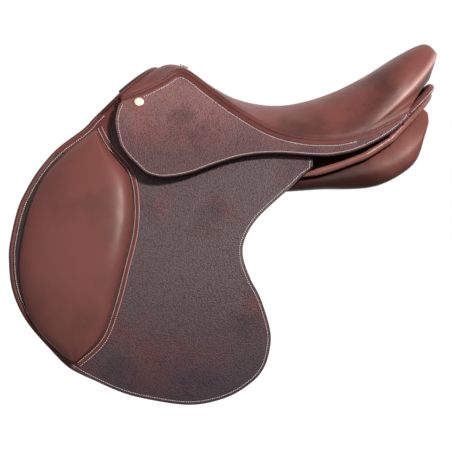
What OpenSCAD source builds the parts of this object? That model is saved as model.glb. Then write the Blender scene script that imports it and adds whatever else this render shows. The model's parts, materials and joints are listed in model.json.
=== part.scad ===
// Close-contact jumping saddle, built in layers over a spring tree.
// Millimetres. +Z is up, -X is the horse's front, -Y is the near (left) side.
// The origin lies under the deepest point of the seat, on the line where the horse's back bears the saddle.

/* [Seat] */
// Seat length, from the middle of the pommel arch to the cantle tip
seat_length = 412; // [400:1:424]
// How far the pommel arch lies ahead of the deepest point of the seat
pommel_lead = 165; // [158:1:172]
// Height of the cantle above the bearing line
cantle_height = 216; // [211:1:221]
// Thickness of the seat leather
cover_thickness = 2.5; // [2:0.1:3]
// Depth of the seat foam
foam_depth = 13; // [11:0.5:14]
// Radius of the piping between seat and skirt
welt_radius = 3; // [2.5:0.1:3.5]
// Radius of the two rolls of the cantle band
band_radius = 5.5; // [5:0.1:6]
// Radius of the black roll round the front of the pommel arch
facing_radius = 5; // [4:0.1:5.5]

/* [Flank] */
// Half width across the flank at the height of the pommel top
pommel_half_width = 30; // [26:1:34]
// Half width across the flank at the foot of the flaps
flap_half_width = 200; // [192:1:208]

/* [Flap] */
// Reach of the flap ahead of the deepest point of the seat
flap_forward = 369; // [358:1:380]
// Drop of the flap below the bearing line
flap_drop = 293; // [284:1:302]
// Thickness of the flap leather
flap_thickness = 5; // [4:0.1:5.5]
// Height of the knee pad's crown above its rim
pad_crown = 24; // [18:0.5:28]
// Thickness of the knee pad at its rim
pad_rim = 2.5; // [2:0.1:4]
// Radius of the piping behind the knee pad
pad_welt_radius = 2; // [1.5:0.1:2.5]

/* [Skirt] */
// Gap that the skirt leaves over the flank, abreast of the deepest point of the seat
skirt_stand = 14; // [13:0.5:16]
// Angle at which the skirt opens towards the front
skirt_flare = 2; // [1.5:0.1:2.5]
// Thickness of the skirt leather
skirt_thickness = 4.5; // [3.5:0.1:5]
// Radius of the nail head at the front of the skirt
nail_radius = 7; // [6:0.1:8]
// Radius of the nail shank
nail_shank_radius = 1.6; // [1.2:0.1:2]

/* [Tree] */
// Thickness of the tree head and of its two points
head_thickness = 10; // [8:0.5:11]
// Length of the tree head from front to back, at its top
head_length = 45; // [40:1:48]
// Thickness of the two tree rails
rail_thickness = 16; // [14:0.5:18]
// Thickness of the cantle board
cantle_board = 12; // [10:0.5:14]
// Thickness of the spring steel strips and of the head plate
steel_thickness = 1.5; // [1.2:0.1:1.7]
// Thickness of the web stretched over the tree
web_thickness = 1.5; // [1:0.1:1.7]

/* [Stirrup bar] */
// Length of the bar that carries the stirrup leather
bar_length = 62; // [54:1:66]
// Height of the bar
bar_height = 11; // [9:0.5:12]
// Thickness of the bar, seen from above
bar_thickness = 7.5; // [7:0.1:8]
// Thickness of the plate that holds the bar to the tree
bar_plate = 3.5; // [3:0.1:3.6]
// Radius of the two rivets of the plate
bar_rivet_radius = 3; // [2.5:0.1:3.5]
// Length of the hinged catch at the open end of the bar
catch_length = 15; // [13:0.5:17]
// Radius of the catch's hinge pin
catch_pin_radius = 1.8; // [1.5:0.1:2]

/* [Girth straps] */
// Width of each girth strap
strap_width = 25; // [22:0.5:27]
// Thickness of each girth strap
strap_thickness = 4; // [3.5:0.1:4]
// Distance from one strap to the next
strap_pitch = 38; // [37:0.5:40]
// Drop of the straps' tips below the bearing line
strap_drop = 205; // [190:1:215]
// Distance from one punched hole to the next
hole_pitch = 26; // [24:0.5:27]
// Radius of the punched holes
hole_radius = 2.6; // [2.2:0.1:3]
// Number of holes in each strap
hole_count = 6; // [4:1:7]
// Radius of the pins that hang the straps on their web
girth_pin_radius = 3; // [2.5:0.1:3.5]

/* [Panel] */
// Length of the panels
panel_length = 460; // [450:1:464]
// Half width of the channel between the panels
channel_half_width = 34; // [30:1:38]
// Half thickness of a panel at its thickest
panel_half_thickness = 27; // [25:0.5:28]
// Thickness of the sweat flap
sweat_thickness = 3; // [2.5:0.1:3.2]

/* [Hidden] */
// Clearance between soft pieces
gap = 0.4;
// Clearance of a pin or shank in its hole
pin_gap = 0.15;
// Overrun of cutting shapes
over = 5;
// Reach of cutting shapes past the whole saddle
reach = 900;
// Facets of the large flank arcs, of small round parts and of tubes
flank_fn = 360;
small_fn = 48;
tube_sides = 8;

leather_dark = [0.26, 0.16, 0.15];
leather_red = [0.45, 0.26, 0.22];
leather_black = [0.10, 0.08, 0.08];
wood_pale = [0.72, 0.58, 0.40];
steel_grey = [0.62, 0.63, 0.65];
gold_pale = [0.84, 0.76, 0.56];

// The flank is an arc in the YZ plane that passes the pommel and stands upright at the foot of the flap.
flank_foot = -flap_drop;
flank_top_share = 0.866;
flank_rise = flank_top_share * cantle_height + flap_drop;
flank_spread = flap_half_width - pommel_half_width;
flank_radius = (flank_rise * flank_rise + flank_spread * flank_spread) / (2 * flank_spread);
flank_axis_y = flap_half_width - flank_radius;

// Crown line of the seat and line of the side welt, front to back: shares of seat_length behind the pommel
// and of cantle_height above the bearing line. The two lists pair point by point.
crown_shares = [
    [0, 0.833], [0.032, 0.861], [0.07, 0.861], [0.112, 0.829], [0.192, 0.718], [0.279, 0.630],
    [0.388, 0.586], [0.493, 0.597], [0.624, 0.671], [0.75, 0.792], [0.837, 0.898], [0.922, 0.986],
    [0.966, 1], [1, 0.944]];
welt_shares = [
    [-0.124, 0.618], [-0.051, 0.671], [0.017, 0.736], [0.092, 0.801], [0.187, 0.671], [0.274, 0.548],
    [0.388, 0.42], [0.498, 0.36], [0.602, 0.35], [0.663, 0.364], [0.694, 0.379], [0.718, 0.391],
    [0.733, 0.398], [0.745, 0.405]];
// Rear end of the welt, and the middle of the foot of the cantle's back
welt_tail_share = [0.886, 0.542];
back_foot_share = [0.973, 0.759];
// How full the seat's cross-section is, and how its ends sweep back towards the sides
crown_power = 2.4;
sweep_power = 2;
// Lower edge of the skirt, from its front tip round the corner to its rear tip
skirt_edge_shares = [
    [-0.127, 0.586], [-0.136, 0.540], [-0.142, 0.470], [-0.135, 0.386], [-0.118, 0.309], [-0.085, 0.242],
    [-0.047, 0.184], [-0.026, 0.132], [0.005, 0.106], [0.05, 0.106], [0.119, 0.132], [0.205, 0.190],
    [0.301, 0.241], [0.410, 0.259], [0.532, 0.245], [0.600, 0.245], [0.687, 0.278], [0.774, 0.352],
    [0.843, 0.440], [0.880, 0.508]];
// The lines about which skirt and flap lift: front end and rear end
skirt_hinge_shares = [[-0.124, 0.593], [0.539, 0.222]];
flap_hinge_shares = [[-0.640, 0.416], [0.154, 0.126]];

// Front and rear edge of the flap: shares of flap_forward, and of flap_drop below the bearing line or flap_rise
// above it
flap_front_shares = [
    [-0.640, 0.416], [-0.683, 0.365], [-0.726, 0.307], [-0.824, 0.212], [-0.892, 0.113], [-0.938, 0.017],
    [-0.970, -0.075], [-0.995, -0.218], [-1, -0.311], [-0.986, -0.454], [-0.935, -0.594], [-0.840, -0.734],
    [-0.759, -0.829], [-0.615, -0.922], [-0.496, -0.969], [-0.320, -1]];
flap_rear_shares = [
    [-0.184, -0.966], [-0.092, -0.898], [-0.043, -0.829], [-0.019, -0.734], [-0.019, -0.642],
    [-0.054, -0.498], [-0.092, -0.406], [-0.119, -0.304], [-0.111, -0.218], [-0.065, -0.123],
    [0.016, -0.027], [0.070, 0.031], [0.119, 0.089], [0.154, 0.126]];
// Upper edge of the flap's fixed top, front to back
flap_top_shares = [
    [-0.61, 0.437], [-0.407, 0.45], [-0.24, 0.425], [-0.095, 0.35], [0, 0.292], [0.154, 0.171]];
// Front and rear edge of the knee pad, top to bottom
pad_front_shares = [
    [-0.688, 0.307], [-0.759, 0.239], [-0.827, 0.164], [-0.886, 0.082], [-0.935, -0.048], [-0.967, -0.212],
    [-0.976, -0.358], [-0.954, -0.512], [-0.889, -0.662], [-0.767, -0.795]];
pad_rear_shares = [
    [-0.678, 0.307], [-0.645, 0.229], [-0.602, 0.164], [-0.556, 0.092], [-0.537, -0.017], [-0.539, -0.171],
    [-0.572, -0.352], [-0.610, -0.536], [-0.659, -0.689], [-0.753, -0.799]];
// How the pad's rise sets in at its rim, and where its crown lies across it
pad_edge_power = 3;
pad_lean_share = 0.58;

// Unit of the flap's heights above the bearing line, where it meets the tree
flap_rise_share = 1.3565;
flap_rise = flap_rise_share * cantle_height;

// Radial places of the side layers, measured outwards from the flank
flap_in = 0;
flap_out = flap_in + flap_thickness;
pad_base = flap_out + gap;
skirt_out = skirt_stand + skirt_thickness;
plate_out = flap_in - gap;
plate_in = plate_out - bar_plate;
point_out = plate_in - gap;
point_in = point_out - head_thickness;
girth_web_thickness = 3;
girth_web_out = flap_in - gap;
girth_web_in = girth_web_out - girth_web_thickness;
// Room between two strap layers, for straps that swing
strap_room = 0.7;
strap_outer_out = girth_web_in - strap_room;
strap_inner_out = strap_outer_out - strap_thickness - strap_room;
strap_inner_in = strap_inner_out - strap_thickness;
sweat_out = strap_inner_in - strap_room;
sweat_in = sweat_out - sweat_thickness;

// Depths of the seat's layers below its surface
foam_top = cover_thickness + gap;
foam_foot = foam_top + foam_depth;
seat_web_top = foam_foot + gap;
seat_web_foot = seat_web_top + web_thickness;
spring_top = seat_web_foot + gap;
spring_foot = spring_top + steel_thickness;
rail_top = spring_foot + gap;
rail_foot = rail_top + rail_thickness;

// Curves and grids

function lerp(a, b, t) = a + (b - a) * t;

function knot(a, b, c, d, t) =
    (2 * b + (c - a) * t + (2 * a - 5 * b + 4 * c - d) * t * t + (3 * b - a - 3 * c + d) * t * t * t) / 2;

// Point at share u of a smooth curve through a list of points
function curve_at(list, u) =
    let (n = len(list) - 1, s = min(max(u, 0), 1) * n, i = min(floor(s), n - 1))
    knot(list[max(i - 1, 0)], list[i], list[i + 1], list[min(i + 2, n)], s - i);

function curve(list, steps) = [for (i = [0 : steps]) curve_at(list, i / steps)];

function reversed(list) = [for (i = [len(list) - 1 : -1 : 0]) list[i]];

function unit(v) = v / norm(v);

function flat_list(rows) = [for (row = rows) for (p = row) p];

// Closed solid between an upper and a lower grid of points, rows by columns
module grid_solid(upper, lower) {
    rows = len(upper);
    cols = len(upper[0]);
    count = rows * cols;
    function at(i, j) = i * cols + j;
    cells = [for (i = [0 : rows - 2]) for (j = [0 : cols - 2])
        [at(i, j), at(i, j + 1), at(i + 1, j + 1), at(i + 1, j)]];
    rim = concat(
        [for (j = [0 : cols - 2]) [at(0, j), at(0, j + 1)]],
        [for (i = [0 : rows - 2]) [at(i, cols - 1), at(i + 1, cols - 1)]],
        [for (j = [cols - 1 : -1 : 1]) [at(rows - 1, j), at(rows - 1, j - 1)]],
        [for (i = [rows - 1 : -1 : 1]) [at(i, 0), at(i - 1, 0)]]);
    faces = concat(
        [for (c = cells) [c[0], c[1], c[2]]],
        [for (c = cells) [c[0], c[2], c[3]]],
        [for (c = cells) [c[0] + count, c[2] + count, c[1] + count]],
        [for (c = cells) [c[0] + count, c[3] + count, c[2] + count]],
        [for (e = rim) [e[0], e[1] + count, e[1]]],
        [for (e = rim) [e[0], e[0] + count, e[1] + count]]);
    polyhedron(concat(flat_list(upper), flat_list(lower)), faces);
}

// Closed solid through rings of equally many points
module ring_solid(rings) {
    sides = len(rings[0]);
    last = len(rings) - 1;
    function at(i, j) = i * sides + j % sides;
    wall = [for (i = [0 : last - 1]) for (j = [0 : sides - 1])
        [at(i, j), at(i, j + 1), at(i + 1, j + 1), at(i + 1, j)]];
    faces = concat(
        [for (c = wall) [c[0], c[1], c[2]]],
        [for (c = wall) [c[0], c[2], c[3]]],
        [for (j = [1 : sides - 2]) [at(0, 0), at(0, j + 1), at(0, j)]],
        [for (j = [1 : sides - 2]) [at(last, 0), at(last, j), at(last, j + 1)]]);
    polyhedron(flat_list(rings), faces);
}

// Round tube along a list of points that runs mostly along one axis
module tube(path, radius, up) {
    last = len(path) - 1;
    rings = [for (i = [0 : last])
        let (along = unit(path[min(i + 1, last)] - path[max(i - 1, 0)]),
             side = unit(cross(along, up)),
             rise = cross(side, along))
        [for (k = [0 : tube_sides - 1])
            path[i] + radius * (cos(360 * k / tube_sides) * side + sin(360 * k / tube_sides) * rise)]];
    ring_solid(rings);
}

// Flank and skirt surfaces

function flank_angle(z) = asin((z - flank_foot) / flank_radius);

function flank_y(z, off) =
    flank_axis_y + sqrt(pow(flank_radius + off, 2) - pow(z - flank_foot, 2));

function flank_point(x, z, off) =
    let (a = flank_angle(z))
    [x, flank_axis_y + (flank_radius + off) * cos(a), flank_foot + (flank_radius + off) * sin(a)];

function skirt_y(x, z, off) =
    let (y = flank_y(z, off))
    y * cos(skirt_flare) - (x - y * sin(skirt_flare)) * tan(skirt_flare);

// Places of shares in the side view
function seat_spot(share) = [share[0] * seat_length - pommel_lead, share[1] * cantle_height];
function flap_spot(share) = [share[0] * flap_forward, share[1] * (share[1] > 0 ? flap_rise : flap_drop)];
function seat_spots(shares) = [for (s = shares) seat_spot(s)];
function flap_spots(shares) = [for (s = shares) flap_spot(s)];

skirt_hinge = seat_spots(skirt_hinge_shares);
flap_hinge = flap_spots(flap_hinge_shares);

function line_z(line, x) =
    line[0][1] + (line[1][1] - line[0][1]) * (x - line[0][0]) / (line[1][0] - line[0][0]);

// Shell that follows the flank between two radial places
module flank_shell(inner, outer) {
    translate([0, flank_axis_y, flank_foot])
        rotate([0, 90, 0])
            difference() {
                cylinder(r = flank_radius + outer, h = 2 * reach, center = true, $fn = flank_fn);
                cylinder(r = flank_radius + inner, h = 2 * reach + over, center = true, $fn = flank_fn);
            }
}

// Prism across one side of the saddle over an outline in the side view
module side_prism() {
    translate([0, reach, 0])
        rotate([90, 0, 0])
            linear_extrude(height = reach) children();
}

// Leather sheet that lies on the flank within an outline in the side view
module sheet(inner, outer, outline) {
    intersection() {
        flank_shell(inner, outer);
        side_prism() polygon(outline);
    }
}

// Everything on the left is the right side mirrored
module on_side(left) {
    mirror([0, left ? 1 : 0, 0]) children();
}

// Frame on the flank: y points outwards, z up along the flank
module at_flank(x, z) {
    translate(flank_point(x, z, 0))
        rotate([flank_angle(z), 0, 0]) children();
}

// Round bar along the outward direction of a flank frame
module outward_pin(radius, inner, outer) {
    translate([0, outer, 0])
        rotate([90, 0, 0])
            cylinder(r = radius, h = outer - inner, $fn = small_fn);
}

// Seat surface

crown_line = seat_spots(crown_shares);
welt_line = seat_spots(welt_shares);
// Rise of the seat's rim above the middle of the welt, with room for the slope of the line
welt_slope_room = 1.4;
rim_rise = cover_thickness + gap + welt_radius + welt_slope_room;
back_foot = seat_spot(back_foot_share);
welt_tail = seat_spot(welt_tail_share);
welt_full = concat(welt_line, [welt_tail]);

// Point of the seat's surface at share u of its length and t of its half width, at a depth below it
function seat_point(u, t, depth) =
    let (c = curve_at(crown_line, u), w = curve_at(welt_line, u), rim = w[1] + rim_rise,
         half = skirt_y(w[0], rim, skirt_stand + skirt_thickness / 2),
         s = abs(t))
    [lerp(c[0], w[0], pow(s, sweep_power)), t * half, lerp(c[1], rim, pow(s, crown_power)) - depth];

// Point of the cantle's back at share v down from the ridge
function back_point(v, t) =
    let (ridge = seat_point(1, t, 0), s = abs(t), rim = welt_tail[1] + rim_rise,
         half = skirt_y(welt_tail[0], rim, skirt_stand + skirt_thickness / 2),
         foot = [lerp(back_foot[0], welt_tail[0], pow(s, sweep_power)), t * half,
                 lerp(back_foot[1], rim, pow(s, crown_power))])
    lerp(ridge, foot, v);

// Spread of grid columns, closer together towards the sides
function spread(j, n) = sin(90 * (2 * j / n - 1));

// All layers of the seat share one grid, so that their facets nest
seat_rows = 24;
seat_cols = 18;

function seat_layer(rows, cols, depth) =
    [for (i = [rows[0] : rows[1]]) [for (j = [cols[0] : cols[1]])
        seat_point(i / seat_rows, spread(j, seat_cols), depth)]];

// Slab of the seat over a span of grid rows and columns, between two depths
module seat_slab(rows, cols, top, foot) {
    grid_solid(seat_layer(rows, cols, top), seat_layer(rows, cols, foot));
}

// Seat pieces

back_rows = 4;

module seat_cover() {
    top = seat_layer([0, seat_rows], [0, seat_cols], 0);
    back = [for (i = [1 : back_rows]) [for (j = [0 : seat_cols])
        back_point(i / back_rows, spread(j, seat_cols))]];
    under = [for (i = [0 : seat_rows]) [for (p = top[i])
        p + cover_thickness * (i < seat_rows ? [0, 0, -1] : [-1, 0, -1])]];
    inside = [for (row = back) [for (p = row) p + cover_thickness * [-1, 0, 0]]];
    color(leather_red) grid_solid(concat(top, back), concat(under, inside));
}

// Spans of the inner layers in rows and columns of the seat's grid
foam_rows = [1, 22];
foam_cols = [3, 15];
web_rows = [5, 22];
web_cols = [6, 12];
spring_rows = [4, 21];
spring_cols = [13, 14];
rail_rows = [2, 20];
rail_cols = [12, 15];
cantle_rows = [20, 22];
cantle_cols = [3, 15];

module seat_foam() {
    color("ivory") seat_slab(foam_rows, foam_cols, foam_top, foam_foot);
}

module seat_web() {
    color("wheat") seat_slab(web_rows, web_cols, seat_web_top, seat_web_foot);
}

module spring_steel(left) {
    color(steel_grey) on_side(left) seat_slab(spring_rows, spring_cols, spring_top, spring_foot);
}

module tree_cantle() {
    color(wood_pale) seat_slab(cantle_rows, cantle_cols, rail_top, rail_top + cantle_board);
}

// Places of the tacks that hold the flap to the rails: shares of seat_length, and their height in the strip
tack_shares = [0.327, 0.4];
tack_lift_share = 0.13;
tack_radius = 1.8;
tack_head_radius = 3.6;
tack_head = 1.2;
tack_depth = 13;

module at_tacks() {
    for (x = [for (share = tack_shares) share * seat_length - pommel_lead])
        at_flank(x, line_z(flap_hinge, x) + tack_lift_share * cantle_height) children();
}

module tree_rail(left) {
    color(wood_pale) on_side(left)
        difference() {
            seat_slab(rail_rows, rail_cols, rail_top, rail_foot);
            translate([head_back + gap - reach, -reach / 2, -reach / 2]) cube(reach);
            at_tacks() outward_pin(tack_radius + pin_gap, -tack_depth - gap, flap_out);
        }
}

module flap_tacks(left) {
    color(steel_grey) on_side(left)
        at_tacks() {
            outward_pin(tack_radius, -tack_depth, flap_out + gap + tack_head / 2);
            outward_pin(tack_head_radius, flap_out + gap, flap_out + gap + tack_head);
        }
}

// Tree head: an arch whose two points follow the flank and lean forward

head_arch_shares = [[0, 0.73], [0.36, 0.722], [0.74, 0.69], [1, 0.61], [1, 0.50], [1, 0.325]];
head_front_share = 0.012;
head_lean = 0.55;
head_steps = 14;
head_top = head_arch_shares[0][1] * cantle_height;
head_front = head_front_share * seat_length - pommel_lead;
head_back = head_front + head_length;

// Point of the arch's outside at share s from the middle of its top to the foot of a point
function arch_spot(s) =
    let (p = curve_at(head_arch_shares, s), z = p[1] * cantle_height, out = min(p[0], 1))
    [out * flank_point(0, z, point_out)[1], lerp(z, flank_point(0, z, point_out)[2], out)];

function arch_inward(s) =
    let (d = 1 / (4 * head_steps), a = arch_spot(max(s - d, 0)), b = arch_spot(min(s + d, 1)),
         v = unit(b - a))
    s <= 0 ? [0, -1] : [v[1], -v[0]];

function arch_row(shift) = [for (i = [-head_steps : head_steps])
    let (s = abs(i) / head_steps, side = sign(i), p = arch_spot(s) + shift * arch_inward(s))
    [side * p[0], p[1]]];

// Front of the arch at a height: the points reach further forward
function head_x(z) = head_front - (head_top - z) * head_lean;

function arch_strip(shift) =
    let (row = arch_row(shift))
    [[for (p = row) [head_x(p[1]), p[0], p[1]]], [for (p = row) [head_back, p[0], p[1]]]];

module tree_head() {
    color(wood_pale)
        difference() {
            grid_solid(arch_strip(0), arch_strip(head_thickness));
            at_head_rivets()
                cylinder(r = head_rivet_radius + pin_gap, h = reach, center = true, $fn = small_fn);
            for (left = [false, true])
                on_side(left) at_bar_rivets()
                    outward_pin(bar_rivet_radius + pin_gap, point_in - over, flap_out);
        }
}

// Steel plate under the head's arch and its rivets
head_plate_width = 50;
head_plate_setback = 9;
// Distances of the two rivet rows from the front and the back of the head
head_rivet_front = 14;
head_rivet_back = 9;
head_rivet_radius = 2.5;
head_rivet_spread = 32;
head_rivet_head_radius = 4.5;
head_rivet_head = 1.6;

module at_head_rivets() {
    for (x = [head_front + head_rivet_front, head_back - head_rivet_back])
        for (side = [-1, 1])
            translate([x, side * head_rivet_spread / 2, 0]) children();
}

head_plate_top = head_top - head_thickness - gap;
head_plate_dip_share = 0.11;
head_plate_sag = head_plate_dip_share * head_plate_width;
head_plate_foot = head_plate_top - head_plate_sag - steel_thickness;
head_rivet_length = head_top - head_plate_foot - head_plate_sag;

module head_plate() {
    color(steel_grey)
        difference() {
            translate([head_front + head_plate_setback / 2, -head_plate_width / 2, head_plate_foot])
                cube([head_length - head_plate_setback, head_plate_width, steel_thickness]);
            at_head_rivets()
                cylinder(r = head_rivet_radius + pin_gap, h = reach, center = true, $fn = small_fn);
        }
}

module head_rivets() {
    color(steel_grey)
        at_head_rivets()
            translate([0, 0, head_plate_foot - gap]) {
                cylinder(r = head_rivet_radius, h = head_rivet_length, $fn = small_fn);
                translate([0, 0, -head_rivet_head])
                    cylinder(r = head_rivet_head_radius, h = head_rivet_head, $fn = small_fn);
            }
}

// Piping, facing and band

welt_steps = 40;
facing_steps = 24;
band_steps = 24;
facing_span_share = 0.97;

module seat_welt(left) {
    path = [for (i = [0 : welt_steps])
        let (w = curve_at(welt_full, i / welt_steps), rim = w[1] + rim_rise)
        [w[0], skirt_y(w[0], rim, skirt_stand + skirt_thickness / 2), w[1]]];
    color(leather_red) on_side(left) tube(path, welt_radius, [0, 0, 1]);
}

// Room between the front edge of the seat and the roll round the arch
facing_room = 0.2;

module pommel_facing() {
    path = [for (i = [0 : facing_steps])
        let (t = facing_span_share * spread(i, facing_steps), d = 1 / (4 * facing_steps),
             along = unit(seat_point(0, min(t + d, 1), 0) - seat_point(0, max(t - d, -1), 0)),
             ahead = [-1, 0, 0],
             square = unit(ahead - (ahead * along) * along))
        seat_point(0, t, cover_thickness / 2) + (facing_radius + gap + facing_room) * square];
    color(leather_black) tube(path, facing_radius, [1, 0, 0]);
}

// Two parallel rolls below the cantle's back: middle and side end of the upper one
band_middle_share = [0.976, 0.708];
band_end_share = [0.80, 0.389];
band_spread_power = 2.5;
// Lean of the lower roll under the upper one
band_lean_share = 0.3;

function band_spot(t) =
    let (middle = seat_spot(band_middle_share), end = seat_spot(band_end_share), s = abs(t),
         half = skirt_y(end[0], end[1], skirt_stand) - 2 * band_radius)
    [lerp(middle[0], end[0], pow(s, band_spread_power)), t * half,
     lerp(middle[1], end[1], pow(s, crown_power))];

// The lower roll keeps its distance square to the upper one
function band_path(row) =
    [for (i = [0 : band_steps])
        let (t = spread(i, band_steps), d = 1 / (4 * band_steps),
             along = unit(band_spot(min(t + d, 1)) - band_spot(max(t - d, -1))),
             down = [-band_lean_share, 0, -1],
             square = unit(down - (down * along) * along))
        band_spot(t) + row * (2 * band_radius + gap) * square];

module cantle_welt() {
    color(leather_red) tube(band_path(0), band_radius, [1, 0, 0]);
}

module cantle_band() {
    color(leather_red) tube(band_path(1), band_radius, [1, 0, 0]);
}

// Bare oval plate on the pommel
oval_plate_length = 13;
oval_plate_width = 7;
oval_plate_thickness = 1;
oval_plate_shares = [0.207, -0.22];
// Steps along and across the seat that give the plate its slope
slope_length_share = 0.02;
slope_width_share = 0.1;

module pommel_plate() {
    u = oval_plate_shares[0];
    t = oval_plate_shares[1];
    spot = seat_point(u, t, 0);
    ahead = seat_point(u - slope_length_share, t, 0);
    behind = seat_point(u + slope_length_share, t, 0);
    inner = seat_point(u, t + slope_width_share, 0);
    outer = seat_point(u, t - slope_width_share, 0);
    pitch = atan2(ahead[2] - behind[2], behind[0] - ahead[0]);
    roll = atan2(inner[2] - outer[2], inner[1] - outer[1]);
    span = oval_plate_length - oval_plate_width;
    color(steel_grey)
        translate(spot)
            rotate([roll, pitch, 0])
                translate([0, 0, gap])
                    linear_extrude(height = oval_plate_thickness) {
                        for (end = [-1, 1])
                            translate([end * span / 2, 0]) circle(d = oval_plate_width, $fn = small_fn);
                        square([span, oval_plate_width], center = true);
                    }
}

// Skirts

// How far the skirt's top comes up beside the welt, which lies further in
welt_lap = 0.6;

function skirt_outline() =
    let (top = [for (p = curve(welt_full, welt_steps)) p - [0, welt_radius + gap - welt_lap]],
         low = curve(seat_spots(skirt_edge_shares), welt_steps))
    concat([for (i = [1 : len(top) - 1]) top[i]], reversed(low));

// Half of the side view above or below a line
function half_plane(line, lift, above) =
    let (z0 = line_z(line, -reach) + lift, z1 = line_z(line, reach) + lift)
    [[-reach, z0], [reach, z1], [reach, above ? reach : -reach], [-reach, above ? reach : -reach]];

module skirt_piece(above) {
    intersection() {
        rotate([0, 0, -skirt_flare]) flank_shell(skirt_stand, skirt_out);
        side_prism() polygon(skirt_outline());
        side_prism() polygon(half_plane(skirt_hinge, above ? gap : 0, above));
    }
}

// Place of the nail: shares of the seat's length and of the cantle's height
nail_shares = [-0.061, 0.602];
nail_spot = seat_spot(nail_shares);
nail_head = 2.2;
nail_edge_share = 0.8;
nail_top_radius = nail_edge_share * nail_radius;

module at_nail() {
    z = nail_spot[1];
    a = flank_angle(z);
    translate([nail_spot[0], skirt_y(nail_spot[0], z, skirt_out), z])
        rotate([0, 0, -skirt_flare])
            rotate([a, 0, 0])
                rotate([-90, 0, 0]) children();
}

module skirt_top(left) {
    color(leather_dark) on_side(left)
        difference() {
            skirt_piece(true);
            at_nail() cylinder(r = nail_shank_radius + pin_gap, h = 2 * over, center = true, $fn = small_fn);
        }
}

module skirt_nail(left) {
    color(gold_pale) on_side(left)
        at_nail() {
            translate([0, 0, -skirt_thickness])
                cylinder(r = nail_shank_radius, h = skirt_thickness + gap + nail_head / 2, $fn = small_fn);
            translate([0, 0, gap])
                cylinder(r1 = nail_radius, r2 = nail_top_radius, h = nail_head, $fn = small_fn);
        }
}

module skirt(left) {
    color(leather_dark) on_side(left) skirt_piece(false);
}

// Flaps

flap_steps = 64;
// Drop of the flap's edge below its hinge line, so that its inner corner swings clear of the web and the bar
flap_fold_drop = 3.4;

function flap_outline() = curve(flap_spots(concat(flap_front_shares, flap_rear_shares)), flap_steps);

module flap(left) {
    color(leather_dark) on_side(left)
        difference() {
            sheet(flap_in, flap_out, flap_outline());
            side_prism() polygon(half_plane(flap_hinge, -flap_fold_drop, true));
        }
}

module flap_top(left) {
    outline = concat(
        [flap_hinge[0] + [0, gap], flap_hinge[1] + [0, gap]], reversed(flap_spots(flap_top_shares)));
    color(leather_dark) on_side(left)
        difference() {
            sheet(flap_in, flap_out, outline);
            at_tacks() outward_pin(tack_radius + pin_gap, flap_in - over, flap_out + over);
            at_bar() translate([bar_front - gap, flap_in - over, -bar_notch_drop])
                cube([bar_notch_length, flap_thickness + 2 * over, bar_notch_drop + bar_height / 2 + gap]);
        }
}

// Knee pads

pad_rows = 16;
pad_cols = 12;

function pad_spot(s, c) =
    lerp(curve_at(flap_spots(pad_front_shares), s), curve_at(flap_spots(pad_rear_shares), s), c);

// Rise of the pad: full across the middle, drawn in to the rim, with its crown towards the rear
function pad_rise(s, c) =
    let (lean = c < pad_lean_share ? c / pad_lean_share / 2 : 1 - (1 - c) / (1 - pad_lean_share) / 2,
         across = 1 - pow(abs(2 * lean - 1), pad_edge_power),
         along = 1 - pow(abs(2 * s - 1), pad_edge_power))
    pad_rim + pad_crown * sqrt(max(across, 0) * max(along, 0));

function pad_layer(base) = [for (i = [0 : pad_rows]) [for (j = [0 : pad_cols])
    let (s = (1 - cos(180 * i / pad_rows)) / 2, c = (1 - cos(180 * j / pad_cols)) / 2, p = pad_spot(s, c))
    flank_point(p[0], p[1], pad_base + (base ? 0 : pad_rise(s, c)))]];

module knee_pad(left) {
    color(leather_red) on_side(left) grid_solid(pad_layer(true), pad_layer(false));
}

pad_welt_steps = 20;
pad_welt_room = 2;

module pad_welt(left) {
    path = [for (i = [0 : pad_welt_steps])
        let (p = pad_spot(i / pad_welt_steps, 1))
        flank_point(p[0] + pad_welt_radius + pad_welt_room, p[1], pad_base + pad_welt_radius)];
    color(leather_dark) on_side(left) tube(path, pad_welt_radius, [0, 1, 0]);
}

// Stirrup bars: a plate riveted to the tree's point, an arm and the open bar with its catch

bar_shares = [0.083, 0.493];
bar_spot = seat_spot(bar_shares);
bar_arm = 11;
bar_room = 2;
bar_in = flap_out + bar_room;
bar_out = bar_in + bar_thickness;
bar_front = -bar_length / 2;
bar_back = bar_front + bar_length;
bar_plate_lead = 8;
bar_plate_height = 24;
bar_plate_length = bar_length + bar_plate_lead;
bar_rivet_places = [
    bar_front - bar_plate_lead / 2 + bar_rivet_radius / 2, bar_front + bar_arm + bar_plate_lead];
tongue = bar_thickness / 2 - gap / 2;
catch_eye = bar_height / 2;
// Notch in the flap's fixed top, where the stirrup leather passes behind the bar
bar_notch_drop = 40;
bar_notch_length = bar_length + catch_eye + bar_room;

module at_bar() {
    at_flank(bar_spot[0], bar_spot[1]) children();
}

module at_bar_rivets() {
    at_bar()
        for (i = [0, 1])
            translate([bar_rivet_places[i], 0, (i == 0 ? -1 : 0) * bar_plate_height / 4]) children();
}

module at_catch() {
    at_bar() translate([bar_back, 0, 0]) children();
}

module stirrup_bar(left) {
    color(steel_grey) on_side(left)
        difference() {
            at_bar() {
                translate([bar_front - bar_plate_lead, plate_in, -bar_plate_height / 2])
                    cube([bar_plate_length, bar_plate, bar_plate_height]);
                translate([bar_front, plate_out, -bar_height / 2])
                    cube([bar_arm, bar_out - plate_out, bar_height]);
                translate([bar_front, bar_in, -bar_height / 2])
                    cube([bar_length - catch_eye - gap, bar_thickness, bar_height]);
                translate([bar_back - catch_eye - over, bar_in, -bar_height / 2])
                    cube([catch_eye + over, tongue, bar_height]);
                translate([bar_back, 0, 0]) outward_pin(catch_eye, bar_in, bar_in + tongue);
            }
            at_catch() outward_pin(catch_pin_radius + pin_gap, bar_in - over, bar_out + over);
            at_bar_rivets() outward_pin(bar_rivet_radius + pin_gap, plate_in - over, plate_out + gap);
        }
}

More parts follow.
